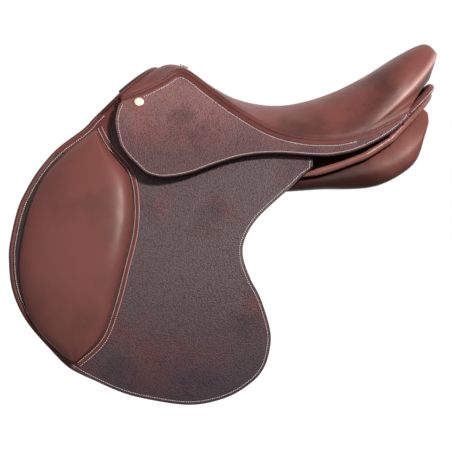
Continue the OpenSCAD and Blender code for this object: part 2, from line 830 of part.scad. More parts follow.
module bar_catch(left) {
    color(steel_grey) on_side(left)
        difference() {
            at_catch() {
                outward_pin(catch_eye, bar_in + tongue + gap, bar_out);
                translate([0, bar_in + tongue + gap, -catch_eye / 2])
                    cube([catch_length, tongue, catch_eye]);
                translate([catch_length, 0, 0])
                    outward_pin(catch_eye / 2, bar_in + tongue + gap, bar_out);
            }
            at_catch() outward_pin(catch_pin_radius + pin_gap, bar_in - over, bar_out + over);
        }
}

module catch_pin(left) {
    color(steel_grey) on_side(left) at_catch() outward_pin(catch_pin_radius, bar_in, bar_out);
}

module bar_rivets(left) {
    color(steel_grey) on_side(left) at_bar_rivets() outward_pin(bar_rivet_radius, point_in, plate_out);
}

// Girth straps hang from a web behind the stirrup bars

strap_places = [-1, 0, 1];
strap_middle_share = 0.13;
strap_middle = strap_middle_share * seat_length - pommel_lead;
strap_pivot_share = 0.218;
strap_pivot_z = strap_pivot_share * cantle_height;
strap_head = 10;
strap_hole_lift = 24;
girth_web_lap = 10;
girth_web_top_share = 0.41;

function strap_x(place) = strap_middle + place * strap_pitch;

module at_strap(place) {
    at_flank(strap_x(place), strap_pivot_z) children();
}

module strap(left, place) {
    outer = place == 0 ? strap_inner_out : strap_outer_out;
    x = strap_x(place);
    w = strap_width / 2;
    tip = -strap_drop;
    outline = [
        [x - w, strap_pivot_z + strap_head], [x + w, strap_pivot_z + strap_head],
        [x + w, tip + w], [x + w / 3, tip], [x - w / 3, tip], [x - w, tip + w]];
    color(leather_dark) on_side(left)
        difference() {
            sheet(outer - strap_thickness, outer, outline);
            at_strap(place)
                outward_pin(girth_pin_radius + pin_gap, outer - strap_thickness - over, outer + over);
            for (k = [0 : hole_count - 1])
                at_flank(x, tip + strap_hole_lift + k * hole_pitch)
                    outward_pin(hole_radius, outer - strap_thickness - over, outer + over);
        }
}

module girth_web(left) {
    w = strap_width / 2 + girth_web_lap / 2;
    x0 = strap_x(-1) - w;
    x1 = strap_x(1) + w;
    outline = [
        [x0, strap_pivot_z - girth_web_lap], [x1, strap_pivot_z - girth_web_lap],
        [x1, girth_web_top_share * cantle_height], [x0, girth_web_top_share * cantle_height]];
    color("wheat") on_side(left)
        difference() {
            sheet(girth_web_in, girth_web_out, outline);
            for (place = strap_places)
                at_strap(place)
                    outward_pin(girth_pin_radius + pin_gap, girth_web_in - over, girth_web_out + over);
        }
}

module girth_pins(left) {
    color(steel_grey) on_side(left)
        for (place = strap_places)
            at_strap(place)
                outward_pin(girth_pin_radius,
                    (place == 0 ? strap_inner_out : strap_outer_out) - strap_thickness, girth_web_out);
}

// Under the straps: sweat flap, point pocket and panel

sweat_scale_share = 0.9;
sweat_middle_shares = [-0.5, -0.35];
sweat_top_share = 0.21;

module sweat_flap(left) {
    middle = flap_spot(sweat_middle_shares);
    outline = [for (p = flap_outline()) lerp(middle, p, sweat_scale_share)];
    color(leather_dark) on_side(left)
        intersection() {
            sheet(sweat_in, sweat_out, outline);
            side_prism() polygon([
                [-reach, -reach], [reach, -reach],
                [reach, sweat_top_share * cantle_height], [-reach, sweat_top_share * cantle_height]]);
        }
}

pocket_thickness = 1.8;
pocket_shares = [[-0.135, 0.30], [0.00, 0.30], [0.00, 0.44], [-0.09, 0.47]];

pocket_out = point_in - gap;
pocket_in = pocket_out - pocket_thickness;
// The panel stays within this radial place
panel_limit = min(sweat_in, pocket_in) - gap;

module point_pocket(left) {
    color(leather_dark) on_side(left) sheet(pocket_in, pocket_out, seat_spots(pocket_shares));
}

// Panel sections, front to back: share of the panel's length, inner edge (share of the channel's half width,
// then its height as a share of the cantle's), outer edge (share of the room inside the sweat flap, then its
// height) and thickness share
panel_shares = [
    [0, 1.7, 0.38, 0.62, 0.36, 0.15], [0.03, 1.18, 0.463, 0.88, 0.231, 0.52],
    [0.195, 1.12, 0.389, 1, 0.093, 0.65], [0.39, 1.06, 0.324, 1, 0.009, 0.65],
    [0.545, 1, 0.333, 1, 0.019, 0.71], [0.65, 0.94, 0.361, 0.98, 0.031, 0.775],
    [0.78, 0.88, 0.426, 0.93, 0.04, 0.97], [0.85, 0.85, 0.491, 0.89, 0.068, 0.9],
    [0.915, 0.82, 0.56, 0.87, 0.139, 0.75], [0.957, 0.79, 0.575, 0.85, 0.222, 0.64],
    [0.985, 0.82, 0.56, 0.875, 0.37, 0.4], [1, 1.25, 0.53, 0.82, 0.47, 0.12]];
panel_lead_share = 0.5;
panel_rings = 22;
panel_sides = 18;

// Outline of a panel section in the YZ plane
function panel_section(p) =
    let (outer_z = p[4] * cantle_height,
         inner = [p[1] * channel_half_width, p[2] * cantle_height],
         outer = [p[3] * flank_y(outer_z, panel_limit), outer_z],
         long = (outer - inner) / 2, middle = (outer + inner) / 2,
         thick = p[5] * panel_half_thickness * unit([long[1], -long[0]]))
    [for (k = [0 : panel_sides - 1])
        let (turn = 360 * k / panel_sides) middle + cos(turn) * long + sin(turn) * thick];

// How far a section has to move inwards to stay within the panel's limit
function panel_excess(section) =
    max([for (q = section) norm(q - [flank_axis_y, flank_foot]) - flank_radius - panel_limit]);

module panel(left) {
    rings = [for (i = [0 : panel_rings])
        let (p = curve_at(panel_shares, i / panel_rings), section = panel_section(p),
             move = max(panel_excess(section), 0) / cos(flank_angle(p[2] * cantle_height)))
        [for (q = section) [(p[0] - panel_lead_share) * panel_length, q[0] - move, q[1]]]];
    color(leather_red) on_side(left) ring_solid(rings);
}

tree_head();
head_plate();
head_rivets();
tree_rail(true);  // left_tree_rail
tree_rail(false);  // right_tree_rail
tree_cantle();
spring_steel(true);  // left_spring_steel
spring_steel(false);  // right_spring_steel
seat_web();
seat_foam();
seat_cover();
pommel_facing();
pommel_plate();
seat_welt(true);  // left_seat_welt
seat_welt(false);  // right_seat_welt
cantle_welt();
cantle_band();
skirt_top(true);  // left_skirt_top
skirt_top(false);  // right_skirt_top
skirt_nail(true);  // left_skirt_nail
skirt_nail(false);  // right_skirt_nail
flap_top(true);  // left_flap_top
flap_top(false);  // right_flap_top
flap_tacks(true);  // left_flap_tacks
flap_tacks(false);  // right_flap_tacks
stirrup_bar(true);  // left_stirrup_bar
stirrup_bar(false);  // right_stirrup_bar
bar_rivets(true);  // left_bar_rivets
bar_rivets(false);  // right_bar_rivets
bar_catch(true);  // left_bar_catch
bar_catch(false);  // right_bar_catch
catch_pin(true);  // left_catch_pin
catch_pin(false);  // right_catch_pin
girth_web(true);  // left_girth_web
girth_web(false);  // right_girth_web
girth_pins(true);  // left_girth_pins
girth_pins(false);  // right_girth_pins
sweat_flap(true);  // left_sweat_flap
sweat_flap(false);  // right_sweat_flap
point_pocket(true);  // left_point_pocket
point_pocket(false);  // right_point_pocket
panel(true);  // left_panel
panel(false);  // right_panel
skirt(true);  // left_skirt
skirt(false);  // right_skirt
flap(true);  // left_flap
flap(false);  // right_flap
knee_pad(true);  // left_knee_pad
knee_pad(false);  // right_knee_pad
pad_welt(true);  // left_pad_welt
pad_welt(false);  // right_pad_welt
strap(true, -1);  // left_front_strap
strap(true, 0);  // left_middle_strap
strap(true, 1);  // left_rear_strap
strap(false, -1);  // right_front_strap
strap(false, 0);  // right_middle_strap
strap(false, 1);  // right_rear_strap
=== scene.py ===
# %% [markdown]
# # A jumping saddle, dressed
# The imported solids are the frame: tree, bars, straps and the plain forms of every leather piece. This lesson
# puts the leather on: smooth calf on seat, pads and panels, grained hide on flaps and skirts, and the thread.
# Everything is in metres, +Z up, the horse's front at -X and the photographed near side at -Y.

# %% Load the frame
import json
import math

import bpy
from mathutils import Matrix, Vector


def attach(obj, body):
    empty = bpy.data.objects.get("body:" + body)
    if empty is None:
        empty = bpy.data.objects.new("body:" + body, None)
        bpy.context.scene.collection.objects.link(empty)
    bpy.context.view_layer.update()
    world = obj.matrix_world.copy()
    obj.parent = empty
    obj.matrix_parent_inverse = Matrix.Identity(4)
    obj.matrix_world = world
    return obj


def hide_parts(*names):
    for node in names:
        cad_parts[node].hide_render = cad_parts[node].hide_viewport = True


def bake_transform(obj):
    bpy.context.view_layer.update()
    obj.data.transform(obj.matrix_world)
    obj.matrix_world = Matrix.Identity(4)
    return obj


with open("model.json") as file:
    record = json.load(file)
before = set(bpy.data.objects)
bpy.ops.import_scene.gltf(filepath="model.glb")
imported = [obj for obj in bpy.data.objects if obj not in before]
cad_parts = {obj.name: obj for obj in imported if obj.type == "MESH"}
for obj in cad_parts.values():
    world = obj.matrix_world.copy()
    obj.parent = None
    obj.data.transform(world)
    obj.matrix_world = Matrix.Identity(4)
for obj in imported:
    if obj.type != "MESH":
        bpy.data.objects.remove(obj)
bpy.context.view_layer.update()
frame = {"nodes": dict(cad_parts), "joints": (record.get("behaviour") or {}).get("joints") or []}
MM = 0.001

# %% [markdown]
# ## The saddle's own lines
# A saddler cuts leather to patterns, so the lesson starts with the pattern lines. The seat has a crown line and
# a welt line, the flap and the pad have outlines in the side view, and the whole flank is one arc seen from the
# front. Shares are of the seat's length and the cantle's height, or of the flap's reach, rise and drop.

# %% Pattern lines
SEAT_LENGTH, POMMEL_LEAD, CANTLE = 412, 165, 216
FLAP_FORWARD, FLAP_DROP, FLAP_RISE = 369, 293, 293
CROWN = [(0, .833), (.032, .861), (.07, .861), (.112, .829), (.192, .718), (.279, .63), (.388, .586),
         (.493, .597), (.624, .671), (.75, .792), (.837, .898), (.922, .986), (.966, 1), (1, .944)]
WELT = [(-.124, .618), (-.051, .671), (.017, .736), (.092, .801), (.187, .671), (.274, .548), (.388, .42),
        (.498, .36), (.602, .35), (.663, .364), (.694, .379), (.718, .391), (.733, .398), (.745, .405)]
WELT_TAIL, BACK_FOOT = (.886, .542), (.973, .759)
SKIRT_EDGE = [(-.127, .586), (-.136, .54), (-.142, .47), (-.135, .386), (-.124, .313), (-.098, .241),
              (-.0655, .181), (-.036, .1315), (.003, .107), (.05, .106), (.119, .132), (.205, .19), (.301, .241),
              (.41, .259), (.532, .245), (.6, .245), (.687, .278), (.774, .352), (.843, .44), (.88, .508)]
FLAP_FRONT = [(-.64, .416), (-.683, .365), (-.726, .307), (-.824, .212), (-.892, .113), (-.938, .017),
              (-.97, -.075), (-.995, -.218), (-1, -.311), (-.986, -.454), (-.935, -.594), (-.84, -.734),
              (-.759, -.829), (-.615, -.922), (-.496, -.969), (-.32, -1)]
FLAP_REAR = [(-.184, -.966), (-.092, -.898), (-.043, -.829), (-.019, -.734), (-.019, -.642), (-.054, -.498),
             (-.092, -.406), (-.119, -.304), (-.111, -.218), (-.065, -.123), (.016, -.027), (.07, .031),
             (.119, .089), (.154, .126)]
PAD_FRONT = [(-.688, .307), (-.759, .239), (-.827, .164), (-.886, .082), (-.935, -.048), (-.967, -.212),
             (-.976, -.358), (-.954, -.512), (-.889, -.662), (-.767, -.795)]
PAD_REAR = [(-.678, .307), (-.645, .229), (-.602, .164), (-.556, .092), (-.537, -.017), (-.539, -.171),
            (-.572, -.352), (-.61, -.536), (-.659, -.689), (-.753, -.799)]
# Panel sections: share of length, inner edge (y, z), outer edge (y, z), thickness
PANEL = [(0, 1.7, .38, .62, .36, .15), (.03, 1.18, .463, .88, .231, .52), (.195, 1.12, .389, 1, .093, .65),
         (.39, 1.06, .324, 1, .009, .65), (.545, 1, .333, 1, .019, .71), (.65, .94, .361, .98, .031, .775),
         (.78, .88, .426, .93, .04, .97), (.85, .85, .491, .89, .068, .9), (.915, .82, .56, .87, .139, .75),
         (.957, .79, .575, .85, .222, .64), (.985, .82, .56, .875, .37, .4), (1, 1.25, .53, .82, .47, .12)]
SKIRT_STAND, SKIRT_THICK, SKIRT_FLARE = 14, 4.5, math.radians(2)
FLAP_THICK, PAD_BASE, PAD_CROWN, PAD_RIM = 5, 5.4, 24, 2.5
SKIRT_OUT = SKIRT_STAND + SKIRT_THICK


def lerp(a, b, t):
    return tuple(p + (q - p) * t for p, q in zip(a, b))


def curve_at(points, u):
    """Point at share u of a smooth curve through the points."""
    n = len(points) - 1
    s = min(max(u, 0), 1) * n
    i = min(int(s), n - 1)
    t = s - i
    quad = points[max(i - 1, 0)], points[i], points[i + 1], points[min(i + 2, n)]
    return tuple((2 * b + (c - a) * t + (2 * a - 5 * b + 4 * c - d) * t * t + (3 * b - a - 3 * c + d) * t ** 3) / 2
                 for a, b, c, d in zip(*quad))


def seat_spots(shares):
    return [(x * SEAT_LENGTH - POMMEL_LEAD, z * CANTLE) for x, z in shares]


def flap_spots(shares):
    return [(x * FLAP_FORWARD, z * (FLAP_RISE if z > 0 else FLAP_DROP)) for x, z in shares]


def even(points, count):
    """The same line with count points at equal distances."""
    lengths = [0]
    for a, b in zip(points, points[1:]):
        lengths.append(lengths[-1] + math.dist(a, b))
    out, k = [], 0
    for i in range(count):
        want = lengths[-1] * i / (count - 1)
        while k < len(points) - 2 and lengths[k + 1] < want:
            k += 1
        out.append(lerp(points[k], points[k + 1], (want - lengths[k]) / max(lengths[k + 1] - lengths[k], 1e-9)))
    return out


def smooth_line(points, count=240):
    return even([curve_at(points, i / 400) for i in range(401)], count)


def inset(points, shift):
    """A line in the side view moved sideways, to the left of its direction."""
    out = []
    for i, p in enumerate(points):
        a, b = points[max(i - 1, 0)], points[min(i + 1, len(points) - 1)]
        dx, dz = b[0] - a[0], b[1] - a[1]
        size = math.hypot(dx, dz) or 1
        out.append((p[0] - dz / size * shift, p[1] + dx / size * shift))
    return out


crown_line, welt_line = seat_spots(CROWN), seat_spots(WELT)
welt_tail, back_foot = seat_spots([WELT_TAIL, BACK_FOOT])
welt_full = smooth_line(welt_line + [welt_tail])
skirt_edge = smooth_line(seat_spots(SKIRT_EDGE))
flap_edge = smooth_line(flap_spots(FLAP_FRONT + FLAP_REAR), 360)
pad_front, pad_rear = flap_spots(PAD_FRONT), flap_spots(PAD_REAR)
print("flap outline", round(sum(math.dist(a, b) for a, b in zip(flap_edge, flap_edge[1:]))), "mm round")

# %% [markdown]
# ## The flank
# All side layers lie on one arc in the YZ plane, each at its own radial place. Two small functions turn a spot
# of the side view into a point on the flank or on the skirt, which opens by two degrees towards the front so
# that it clears the stirrup bar.

# %% Flank and skirt surfaces
POMMEL_HALF, FLAP_HALF, FLANK_TOP = 30, 200, .866
rise, spread = FLANK_TOP * CANTLE + FLAP_DROP, FLAP_HALF - POMMEL_HALF
FLANK_R = (rise * rise + spread * spread) / (2 * spread)
FLANK_Y, FLANK_Z = FLAP_HALF - FLANK_R, -FLAP_DROP


def flank(x, z, off):
    return (x, FLANK_Y + math.sqrt((FLANK_R + off) ** 2 - (z - FLANK_Z) ** 2), z)


def skirt(x, z, off):
    y = flank(x, z, off)[1]
    y = y * math.cos(SKIRT_FLARE) - (x - y * math.sin(SKIRT_FLARE)) * math.tan(SKIRT_FLARE)
    return (x, y, z)


def normal_of(surface, x, z, off):
    """Outward direction of the flank or the skirt at a spot of the side view."""
    p = Vector(surface(x, z, off))
    a, b = Vector(surface(x + 1, z, off)) - p, Vector(surface(x, z + 1, off)) - p
    n = b.cross(a).normalized()
    return n if n.y > 0 else -n


print("flank radius", round(FLANK_R), "mm")

# %% [markdown]
# ## Finishes
# Good leather is never one colour. Four shader node groups give the effects that several finishes share: a slow
# mottle of two dyes, the pebble of grained hide, the fine pores of smooth calf and a darkening towards the foot of
# a piece, which is painted shade on panels and flaps. Each finish then places these groups with its own values in
# its own Principled shader.


# %% Shared effects
FLOAT, COLOUR = "NodeSocketFloat", "NodeSocketColor"


def new_group(name, inputs, outputs):
    group = bpy.data.node_groups.new(name, "ShaderNodeTree")
    for label, kind, value in inputs:
        socket = group.interface.new_socket(label, in_out="INPUT", socket_type=kind)
        socket.default_value = value
    for label, kind in outputs:
        group.interface.new_socket(label, in_out="OUTPUT", socket_type=kind)
    return group, group.nodes.new("NodeGroupInput"), group.nodes.new("NodeGroupOutput")


def add_node(tree, kind, inputs=None, **settings):
    """A shader node with its settings and the values of its inputs."""
    made = tree.nodes.new("ShaderNode" + kind)
    for key, value in settings.items():
        setattr(made, key, value)
    for key, value in (inputs or {}).items():
        made.inputs[key].default_value = value
    return made


def link(tree, source, target):
    tree.links.new(source, target)


def wire(tree, *links):
    """Links given as node, output, node, input."""
    for source, output, target, label in links:
        link(tree, source.outputs[output], target.inputs[label])


mottle, mottle_in, mottle_out = new_group(
    "dye_mottle",
    [("Dye", COLOUR, (.2, .07, .06, 1)), ("Second dye", COLOUR, (.1, .05, .05, 1)),
     ("Scale", FLOAT, 9), ("Low", FLOAT, .42), ("High", FLOAT, .66)],
    [("Color", COLOUR), ("Patch", FLOAT)])
place = add_node(mottle, "TexCoord")
cloud = add_node(mottle, "TexNoise", {"Detail": 5, "Roughness": .62})
step = add_node(mottle, "MapRange", interpolation_type="SMOOTHSTEP")
dyes = add_node(mottle, "Mix", data_type="RGBA")
wire(mottle, (place, "Object", cloud, "Vector"), (mottle_in, "Scale", cloud, "Scale"), (cloud, "Fac", step, "Value"),
     (mottle_in, "Low", step, "From Min"), (mottle_in, "High", step, "From Max"), (step, "Result", dyes, "Factor"),
     (mottle_in, "Dye", dyes, "A"), (mottle_in, "Second dye", dyes, "B"),
     (dyes, "Result", mottle_out, "Color"), (step, "Result", mottle_out, "Patch"))

pebble, pebble_in, pebble_out = new_group(
    "pebble_grain", [("Scale", FLOAT, 420)], [("Height", FLOAT), ("Valley", FLOAT)])
place = add_node(pebble, "TexCoord")
warp = add_node(pebble, "TexNoise", {"Scale": 260})
shift = add_node(pebble, "VectorMath", {1: (.0014, .0014, .0014)}, operation="MULTIPLY_ADD")
cells = add_node(pebble, "TexVoronoi", {"Smoothness": .6}, feature="SMOOTH_F1")
valley = add_node(pebble, "MapRange", {"From Min": .15, "From Max": .7})
turn = add_node(pebble, "Math", {0: 1}, operation="SUBTRACT")
wire(pebble, (place, "Object", warp, "Vector"), (warp, "Color", shift, 0), (place, "Object", shift, 2),
     (shift, "Vector", cells, "Vector"), (pebble_in, "Scale", cells, "Scale"), (cells, "Distance", valley, "Value"),
     (cells, "Distance", turn, 1), (turn, "Value", pebble_out, "Height"), (valley, "Result", pebble_out, "Valley"))

pores, pores_in, pores_out = new_group(
    "calf_pores", [("Scale", FLOAT, 900)], [("Height", FLOAT), ("Wear", FLOAT)])
place = add_node(pores, "TexCoord")
fine = add_node(pores, "TexNoise", {"Detail": 3})
wear = add_node(pores, "TexNoise", {"Scale": 38, "Detail": 6})
wire(pores, (place, "Object", fine, "Vector"), (place, "Object", wear, "Vector"), (pores_in, "Scale", fine, "Scale"),
     (fine, "Fac", pores_out, "Height"), (wear, "Fac", pores_out, "Wear"))

shade, shade_in, shade_out = new_group(
    "low_shade", [("Low", FLOAT, 0), ("High", FLOAT, .1)], [("Shade", FLOAT)])
place = add_node(shade, "TexCoord")
height = add_node(shade, "SeparateXYZ")
drift = add_node(shade, "TexNoise", {"Scale": 8, "Detail": 4})
sway = add_node(shade, "Math", {1: .16}, operation="MULTIPLY_ADD")
level_off = add_node(shade, "Math", {1: .08}, operation="SUBTRACT")
fade = add_node(shade, "MapRange", interpolation_type="SMOOTHSTEP")
wire(shade, (place, "Object", height, "Vector"), (place, "Object", drift, "Vector"), (drift, "Fac", sway, 0),
     (height, "Z", sway, 2), (sway, "Value", level_off, 0), (level_off, "Value", fade, "Value"),
     (shade_in, "High", fade, "From Min"), (shade_in, "Low", fade, "From Max"), (fade, "Result", shade_out, "Shade"))
print("effects", [g.name for g in bpy.data.node_groups])

# %% [markdown]
# A finish is a short function: dyes for the mottle, a relief group for the bump, and a roughness that follows the
# wear. Calf is semi-gloss, hide is duller, and metal, wood and webbing get their own scratches, grain and weave.


# %% Finishes
def finish(name, roughness, metallic=0.0):
    material = bpy.data.materials.new(name)
    material.use_nodes = True
    shader = material.node_tree.nodes["Principled BSDF"]
    shader.inputs["Roughness"].default_value = roughness
    shader.inputs["Metallic"].default_value = metallic
    shader.inputs["Specular IOR Level"].default_value = .28
    if metallic == 0:
        shader.inputs["Specular Tint"].default_value = (1, .84, .77, 1)
    return material, material.node_tree, shader


def use_group(tree, group, **values):
    node = tree.nodes.new("ShaderNodeGroup")
    node.node_tree = group
    for label, value in values.items():
        node.inputs[label.replace("_", " ")].default_value = value
    return node


def relief(tree, shader, height, strength, distance):
    bump = add_node(tree, "Bump", {"Strength": strength, "Distance": distance})
    link(tree, height, bump.inputs["Height"])
    link(tree, bump.outputs["Normal"], shader.inputs["Normal"])


def map_value(tree, value, low, high):
    scale = add_node(tree, "MapRange", {"From Min": .3, "From Max": .7, "To Min": low, "To Max": high})
    link(tree, value, scale.inputs["Value"])
    return scale.outputs["Result"]


def mix_colour(tree, factor, first, second, share=1.0):
    """A colour that goes from first to second, at most by the share; second is a plain colour."""
    mix = add_node(tree, "Mix", {"B": second + (1,)}, data_type="RGBA")
    part = add_node(tree, "Math", {1: share}, operation="MULTIPLY")
    link(tree, factor, part.inputs[0])
    link(tree, part.outputs["Value"], mix.inputs["Factor"])
    link(tree, first, mix.inputs["A"])
    return mix


def calf(name, dye, second, gloss=.36, scale=7.0, shine=.2, foot=None, rubbed_and_highlight=None):
    """Smooth dyed calf with pores and wear. Foot is the colour of a painted shade and the heights where it starts
    and ends; the last argument is the pale colour of a painted highlight along a ridge, which an attribute of the
    piece places."""
    material, tree, shader = finish(name, gloss)
    shader.inputs["Specular IOR Level"].default_value = shine
    colour = use_group(tree, mottle, Dye=dye + (1,), Second_dye=second + (1,), Scale=scale, Low=.38, High=.7)
    skin = use_group(tree, pores, Scale=700.0)
    tone = colour.outputs["Color"]
    # Painted shade: the colour darkens towards the piece's foot.
    if foot:
        fall = use_group(tree, shade, High=foot[1], Low=foot[2])
        tone = mix_colour(tree, fall.outputs["Shade"], tone, foot[0], .92).outputs["Result"]
    # A pale painted highlight along a ridge, placed by the piece's attribute.
    if rubbed_and_highlight:
        highlight_mask = add_node(tree, "Attribute", attribute_name="ridge_highlight_paint")
        tone = mix_colour(tree, highlight_mask.outputs["Fac"], tone, rubbed_and_highlight, .85).outputs["Result"]
    link(tree, tone, shader.inputs["Base Color"])
    link(tree, map_value(tree, skin.outputs["Wear"], gloss - .05, gloss + .1), shader.inputs["Roughness"])
    relief(tree, shader, skin.outputs["Height"], .3, .0005)
    return material


def hide(name, dye, rubbed_and_highlight, dark, high, low, gloss=.52, cells=500.0):
    """Pebble-grained hide: worn reddish patches, blue-black clouds, and a darker tone from high down to low, which
    on the flap is painted shade.
    """
    material, tree, shader = finish(name, gloss)
    colour = use_group(tree, mottle, Dye=dye + (1,), Second_dye=rubbed_and_highlight + (1,), Scale=8.5, Low=.45, High=.69)
    clouds = use_group(tree, mottle, Scale=7.5, Low=.47, High=.68)
    # Darker from high down to low; on the flap this is painted shade.
    fall = use_group(tree, shade, High=high, Low=low)
    grain = use_group(tree, pebble, Scale=cells)
    clouded = mix_colour(tree, clouds.outputs["Patch"], colour.outputs["Color"], dark, .85)
    fallen = mix_colour(tree, fall.outputs["Shade"], clouded.outputs["Result"], dark, .8)
    deep = mix_colour(tree, grain.outputs["Valley"], fallen.outputs["Result"], (.6, .57, .58))
    deep.blend_type = "MULTIPLY"
    link(tree, deep.outputs["Result"], shader.inputs["Base Color"])
    link(tree, map_value(tree, grain.outputs["Height"], gloss + .1, gloss - .08), shader.inputs["Roughness"])
    relief(tree, shader, grain.outputs["Height"], .8, .0008)
    return material


def grained(name, base, second, gloss, metallic, scale, stretch, strength):
    """Scratches, wood grain or weave: one stretched noise for colour, gloss and relief."""
    material, tree, shader = finish(name, gloss, metallic)
    where = add_node(tree, "TexCoord")
    pull = add_node(tree, "Mapping", {"Scale": stretch})
    noise = add_node(tree, "TexNoise", {"Scale": scale, "Detail": 4})
    mix = add_node(tree, "Mix", {"A": base + (1,), "B": second + (1,)}, data_type="RGBA")
    wire(tree, (where, "Object", pull, "Vector"), (pull, "Vector", noise, "Vector"), (noise, "Fac", mix, "Factor"),
         (mix, "Result", shader, "Base Color"))
    link(tree, map_value(tree, noise.outputs["Fac"], gloss - .06, gloss + .08), shader.inputs["Roughness"])
    relief(tree, shader, noise.outputs["Fac"], strength, .0004)
    return material


# The seat's pale tone along the cantle's ridge is a painted highlight.
seat_calf = calf("seat_calf", (.168, .052, .043), (.07, .024, .021), gloss=.38, scale=11, shine=.14,
                 rubbed_and_highlight=(.58, .34, .29))
pad_calf = calf("pad_calf", (.165, .05, .041), (.12, .039, .033), gloss=.36, scale=12, shine=.26)
trim_calf = calf("trim_calf", (.125, .035, .03), (.085, .026, .022), gloss=.36, scale=18, shine=.16)
# The lower rolls' calf is lighter than the trim; part of that lightness is painted highlight.
roll_calf = calf("roll_calf", (.25, .093, .075), (.17, .06, .048), gloss=.27, scale=18, shine=.3)
# The panel's near-black foot colour is painted shade, from 0.085 m down to 0.028 m.
panel_calf = calf("panel_calf", (.19, .063, .048), (.115, .035, .028), gloss=.36, scale=11, shine=.16,
                  foot=((.016, .0012, .0008), .085, .028))
# The flap darkens from z -0.1 m down to -0.33 m: painted shade.
flap_hide = hide("flap_hide", (.1, .067, .071), (.15, .05, .048), (.034, .024, .035), -.1, -.33)
skirt_hide = hide("skirt_hide", (.265, .127, .12), (.28, .095, .08), (.062, .03, .037), .15, .045)
flesh_side = calf("flesh_side", (.17, .095, .062), (.11, .06, .04), gloss=.75, scale=30)
strap_hide = calf("strap_hide", (.085, .034, .028), (.06, .026, .022), gloss=.42, scale=20)
cut_edge = calf("cut_edge", (.3, .2, .18), (.15, .09, .08), gloss=.5, scale=60)
# Near-black calf, painted shade: it colours the pommel's roll and the sheet in the pad's groove.
dark_roll = calf("dark_roll", (.018, .014, .014), (.03, .022, .02), gloss=.4)
thread = grained("waxed_thread", (.8, .7, .66), (.62, .5, .47), .55, 0, 900, (1, 1, 1), .3)
steel = grained("brushed_bar", (.5, .51, .53), (.36, .37, .39), .34, 1, 300, (.05, 1, 1), .1)
nail_gold = grained("pale_nail", (.88, .85, .72), (.8, .74, .56), .3, .3, 140, (1, 1, 1), .06)
plate_silver = grained("plate_silver", (.4, .41, .43), (.28, .29, .32), .3, 1, 220, (1, 1, 1), .05)
plate_dark = grained("plate_middle", (.012, .03, .045), (.02, .05, .07), .16, .1, 120, (1, 1, 1), .03)
tree_wood = grained("tree_wood", (.42, .26, .12), (.26, .15, .07), .5, 0, 60, (.12, 1, 1), .25)
web_cloth = grained("web_cloth", (.5, .41, .28), (.36, .29, .19), .85, 0, 900, (1, .4, .4), .6)
foam_soft = grained("foam_soft", (.72, .66, .52), (.6, .54, .41), .95, 0, 700, (1, 1, 1), .5)
print("finishes", len(bpy.data.materials))

# %% [markdown]
# Solids that already have their true shape keep it and only get a finish: the tree, the steel, the straps and
# the sheets under the flap. The leather that shows is made anew in the next cells.

# %% Finishes of the carried-over solids
SIDES = ("left", "right")
plain = {tree_wood: ["tree_head", "tree_cantle", "*_tree_rail"], foam_soft: ["seat_foam"],
         steel: ["head_plate", "head_rivets", "*_spring_steel", "*_stirrup_bar", "*_bar_rivets", "*_bar_catch",
                 "*_catch_pin", "*_flap_tacks", "*_girth_pins"],
         web_cloth: ["seat_web", "*_girth_web"], flap_hide: ["*_flap_top"],
         strap_hide: ["*_sweat_flap", "*_point_pocket", "*_front_strap", "*_middle_strap", "*_rear_strap"]}
dressed = 0
for material, names in plain.items():
    for name in names:
        for side in SIDES if "*" in name else ("",):
            for place in frame["nodes"][name.replace("*", side)].material_slots:
                place.link = "OBJECT"
                place.material = material
                dressed += 1
print("solids dressed", dressed)

# %% [markdown]
# ## Tools of the trade
# Each new piece starts from a primitive and is then carried to its place. A leather sheet starts as a grid, a
# piping as a path, and a stitch as a small cylinder. The right side is modelled and the left one is its mirrored
# copy with its own mesh.


# %% Small tools
def start_clean():
    if bpy.context.mode != "OBJECT":
        bpy.ops.object.mode_set(mode="OBJECT")
    bpy.ops.object.select_all(action="DESELECT")


def only(piece):
    start_clean()
    piece.select_set(True)
    bpy.context.view_layer.objects.active = piece


def apply_modifier(piece, kind, **settings):
    only(piece)
    modifier = piece.modifiers.new(kind.title(), kind)
    for key, value in settings.items():
        setattr(modifier, key, value)
    bpy.ops.object.modifier_apply(modifier=modifier.name)


def edit(piece, *steps):
    """Run edit-mode operators on the whole piece."""
    only(piece)
    bpy.ops.object.mode_set(mode="EDIT")
    bpy.ops.mesh.select_all(action="SELECT")
    for operator, settings in steps:
        operator(**settings)
    bpy.ops.object.mode_set(mode="OBJECT")


def choose(piece, test):
    """Go into edit mode with only those corners selected whose index passes the test."""
    only(piece)
    bpy.ops.object.mode_set(mode="EDIT")
    bpy.ops.mesh.select_mode(type="VERT")
    bpy.ops.mesh.select_all(action="DESELECT")
    bpy.ops.object.mode_set(mode="OBJECT")
    for v in piece.data.vertices:
        v.select = test(v.index)
    bpy.ops.object.mode_set(mode="EDIT")


def choose_rims(piece):
    """Go into edit mode with only the open edges selected."""
    only(piece)
    bpy.ops.object.mode_set(mode="EDIT")
    bpy.ops.mesh.select_mode(type="EDGE")
    bpy.ops.mesh.select_all(action="DESELECT")
    bpy.ops.mesh.select_non_manifold()


WELD = (bpy.ops.mesh.remove_doubles, {"threshold": 1e-6})
AGREE = (bpy.ops.mesh.normals_make_consistent, {"inside": False})
FLIP = (bpy.ops.mesh.flip_normals, {})


def face_outwards(piece):
    edit(piece, WELD, AGREE)


def face_right(piece):
    """Turn an open sheet of the right side so that its faces look to +Y."""
    edit(piece, AGREE)
    if sum(f.normal.y for f in piece.data.polygons) < 0:
        edit(piece, FLIP)


def subdivide(piece, levels):
    apply_modifier(piece, "SUBSURF", levels=levels, render_levels=levels)


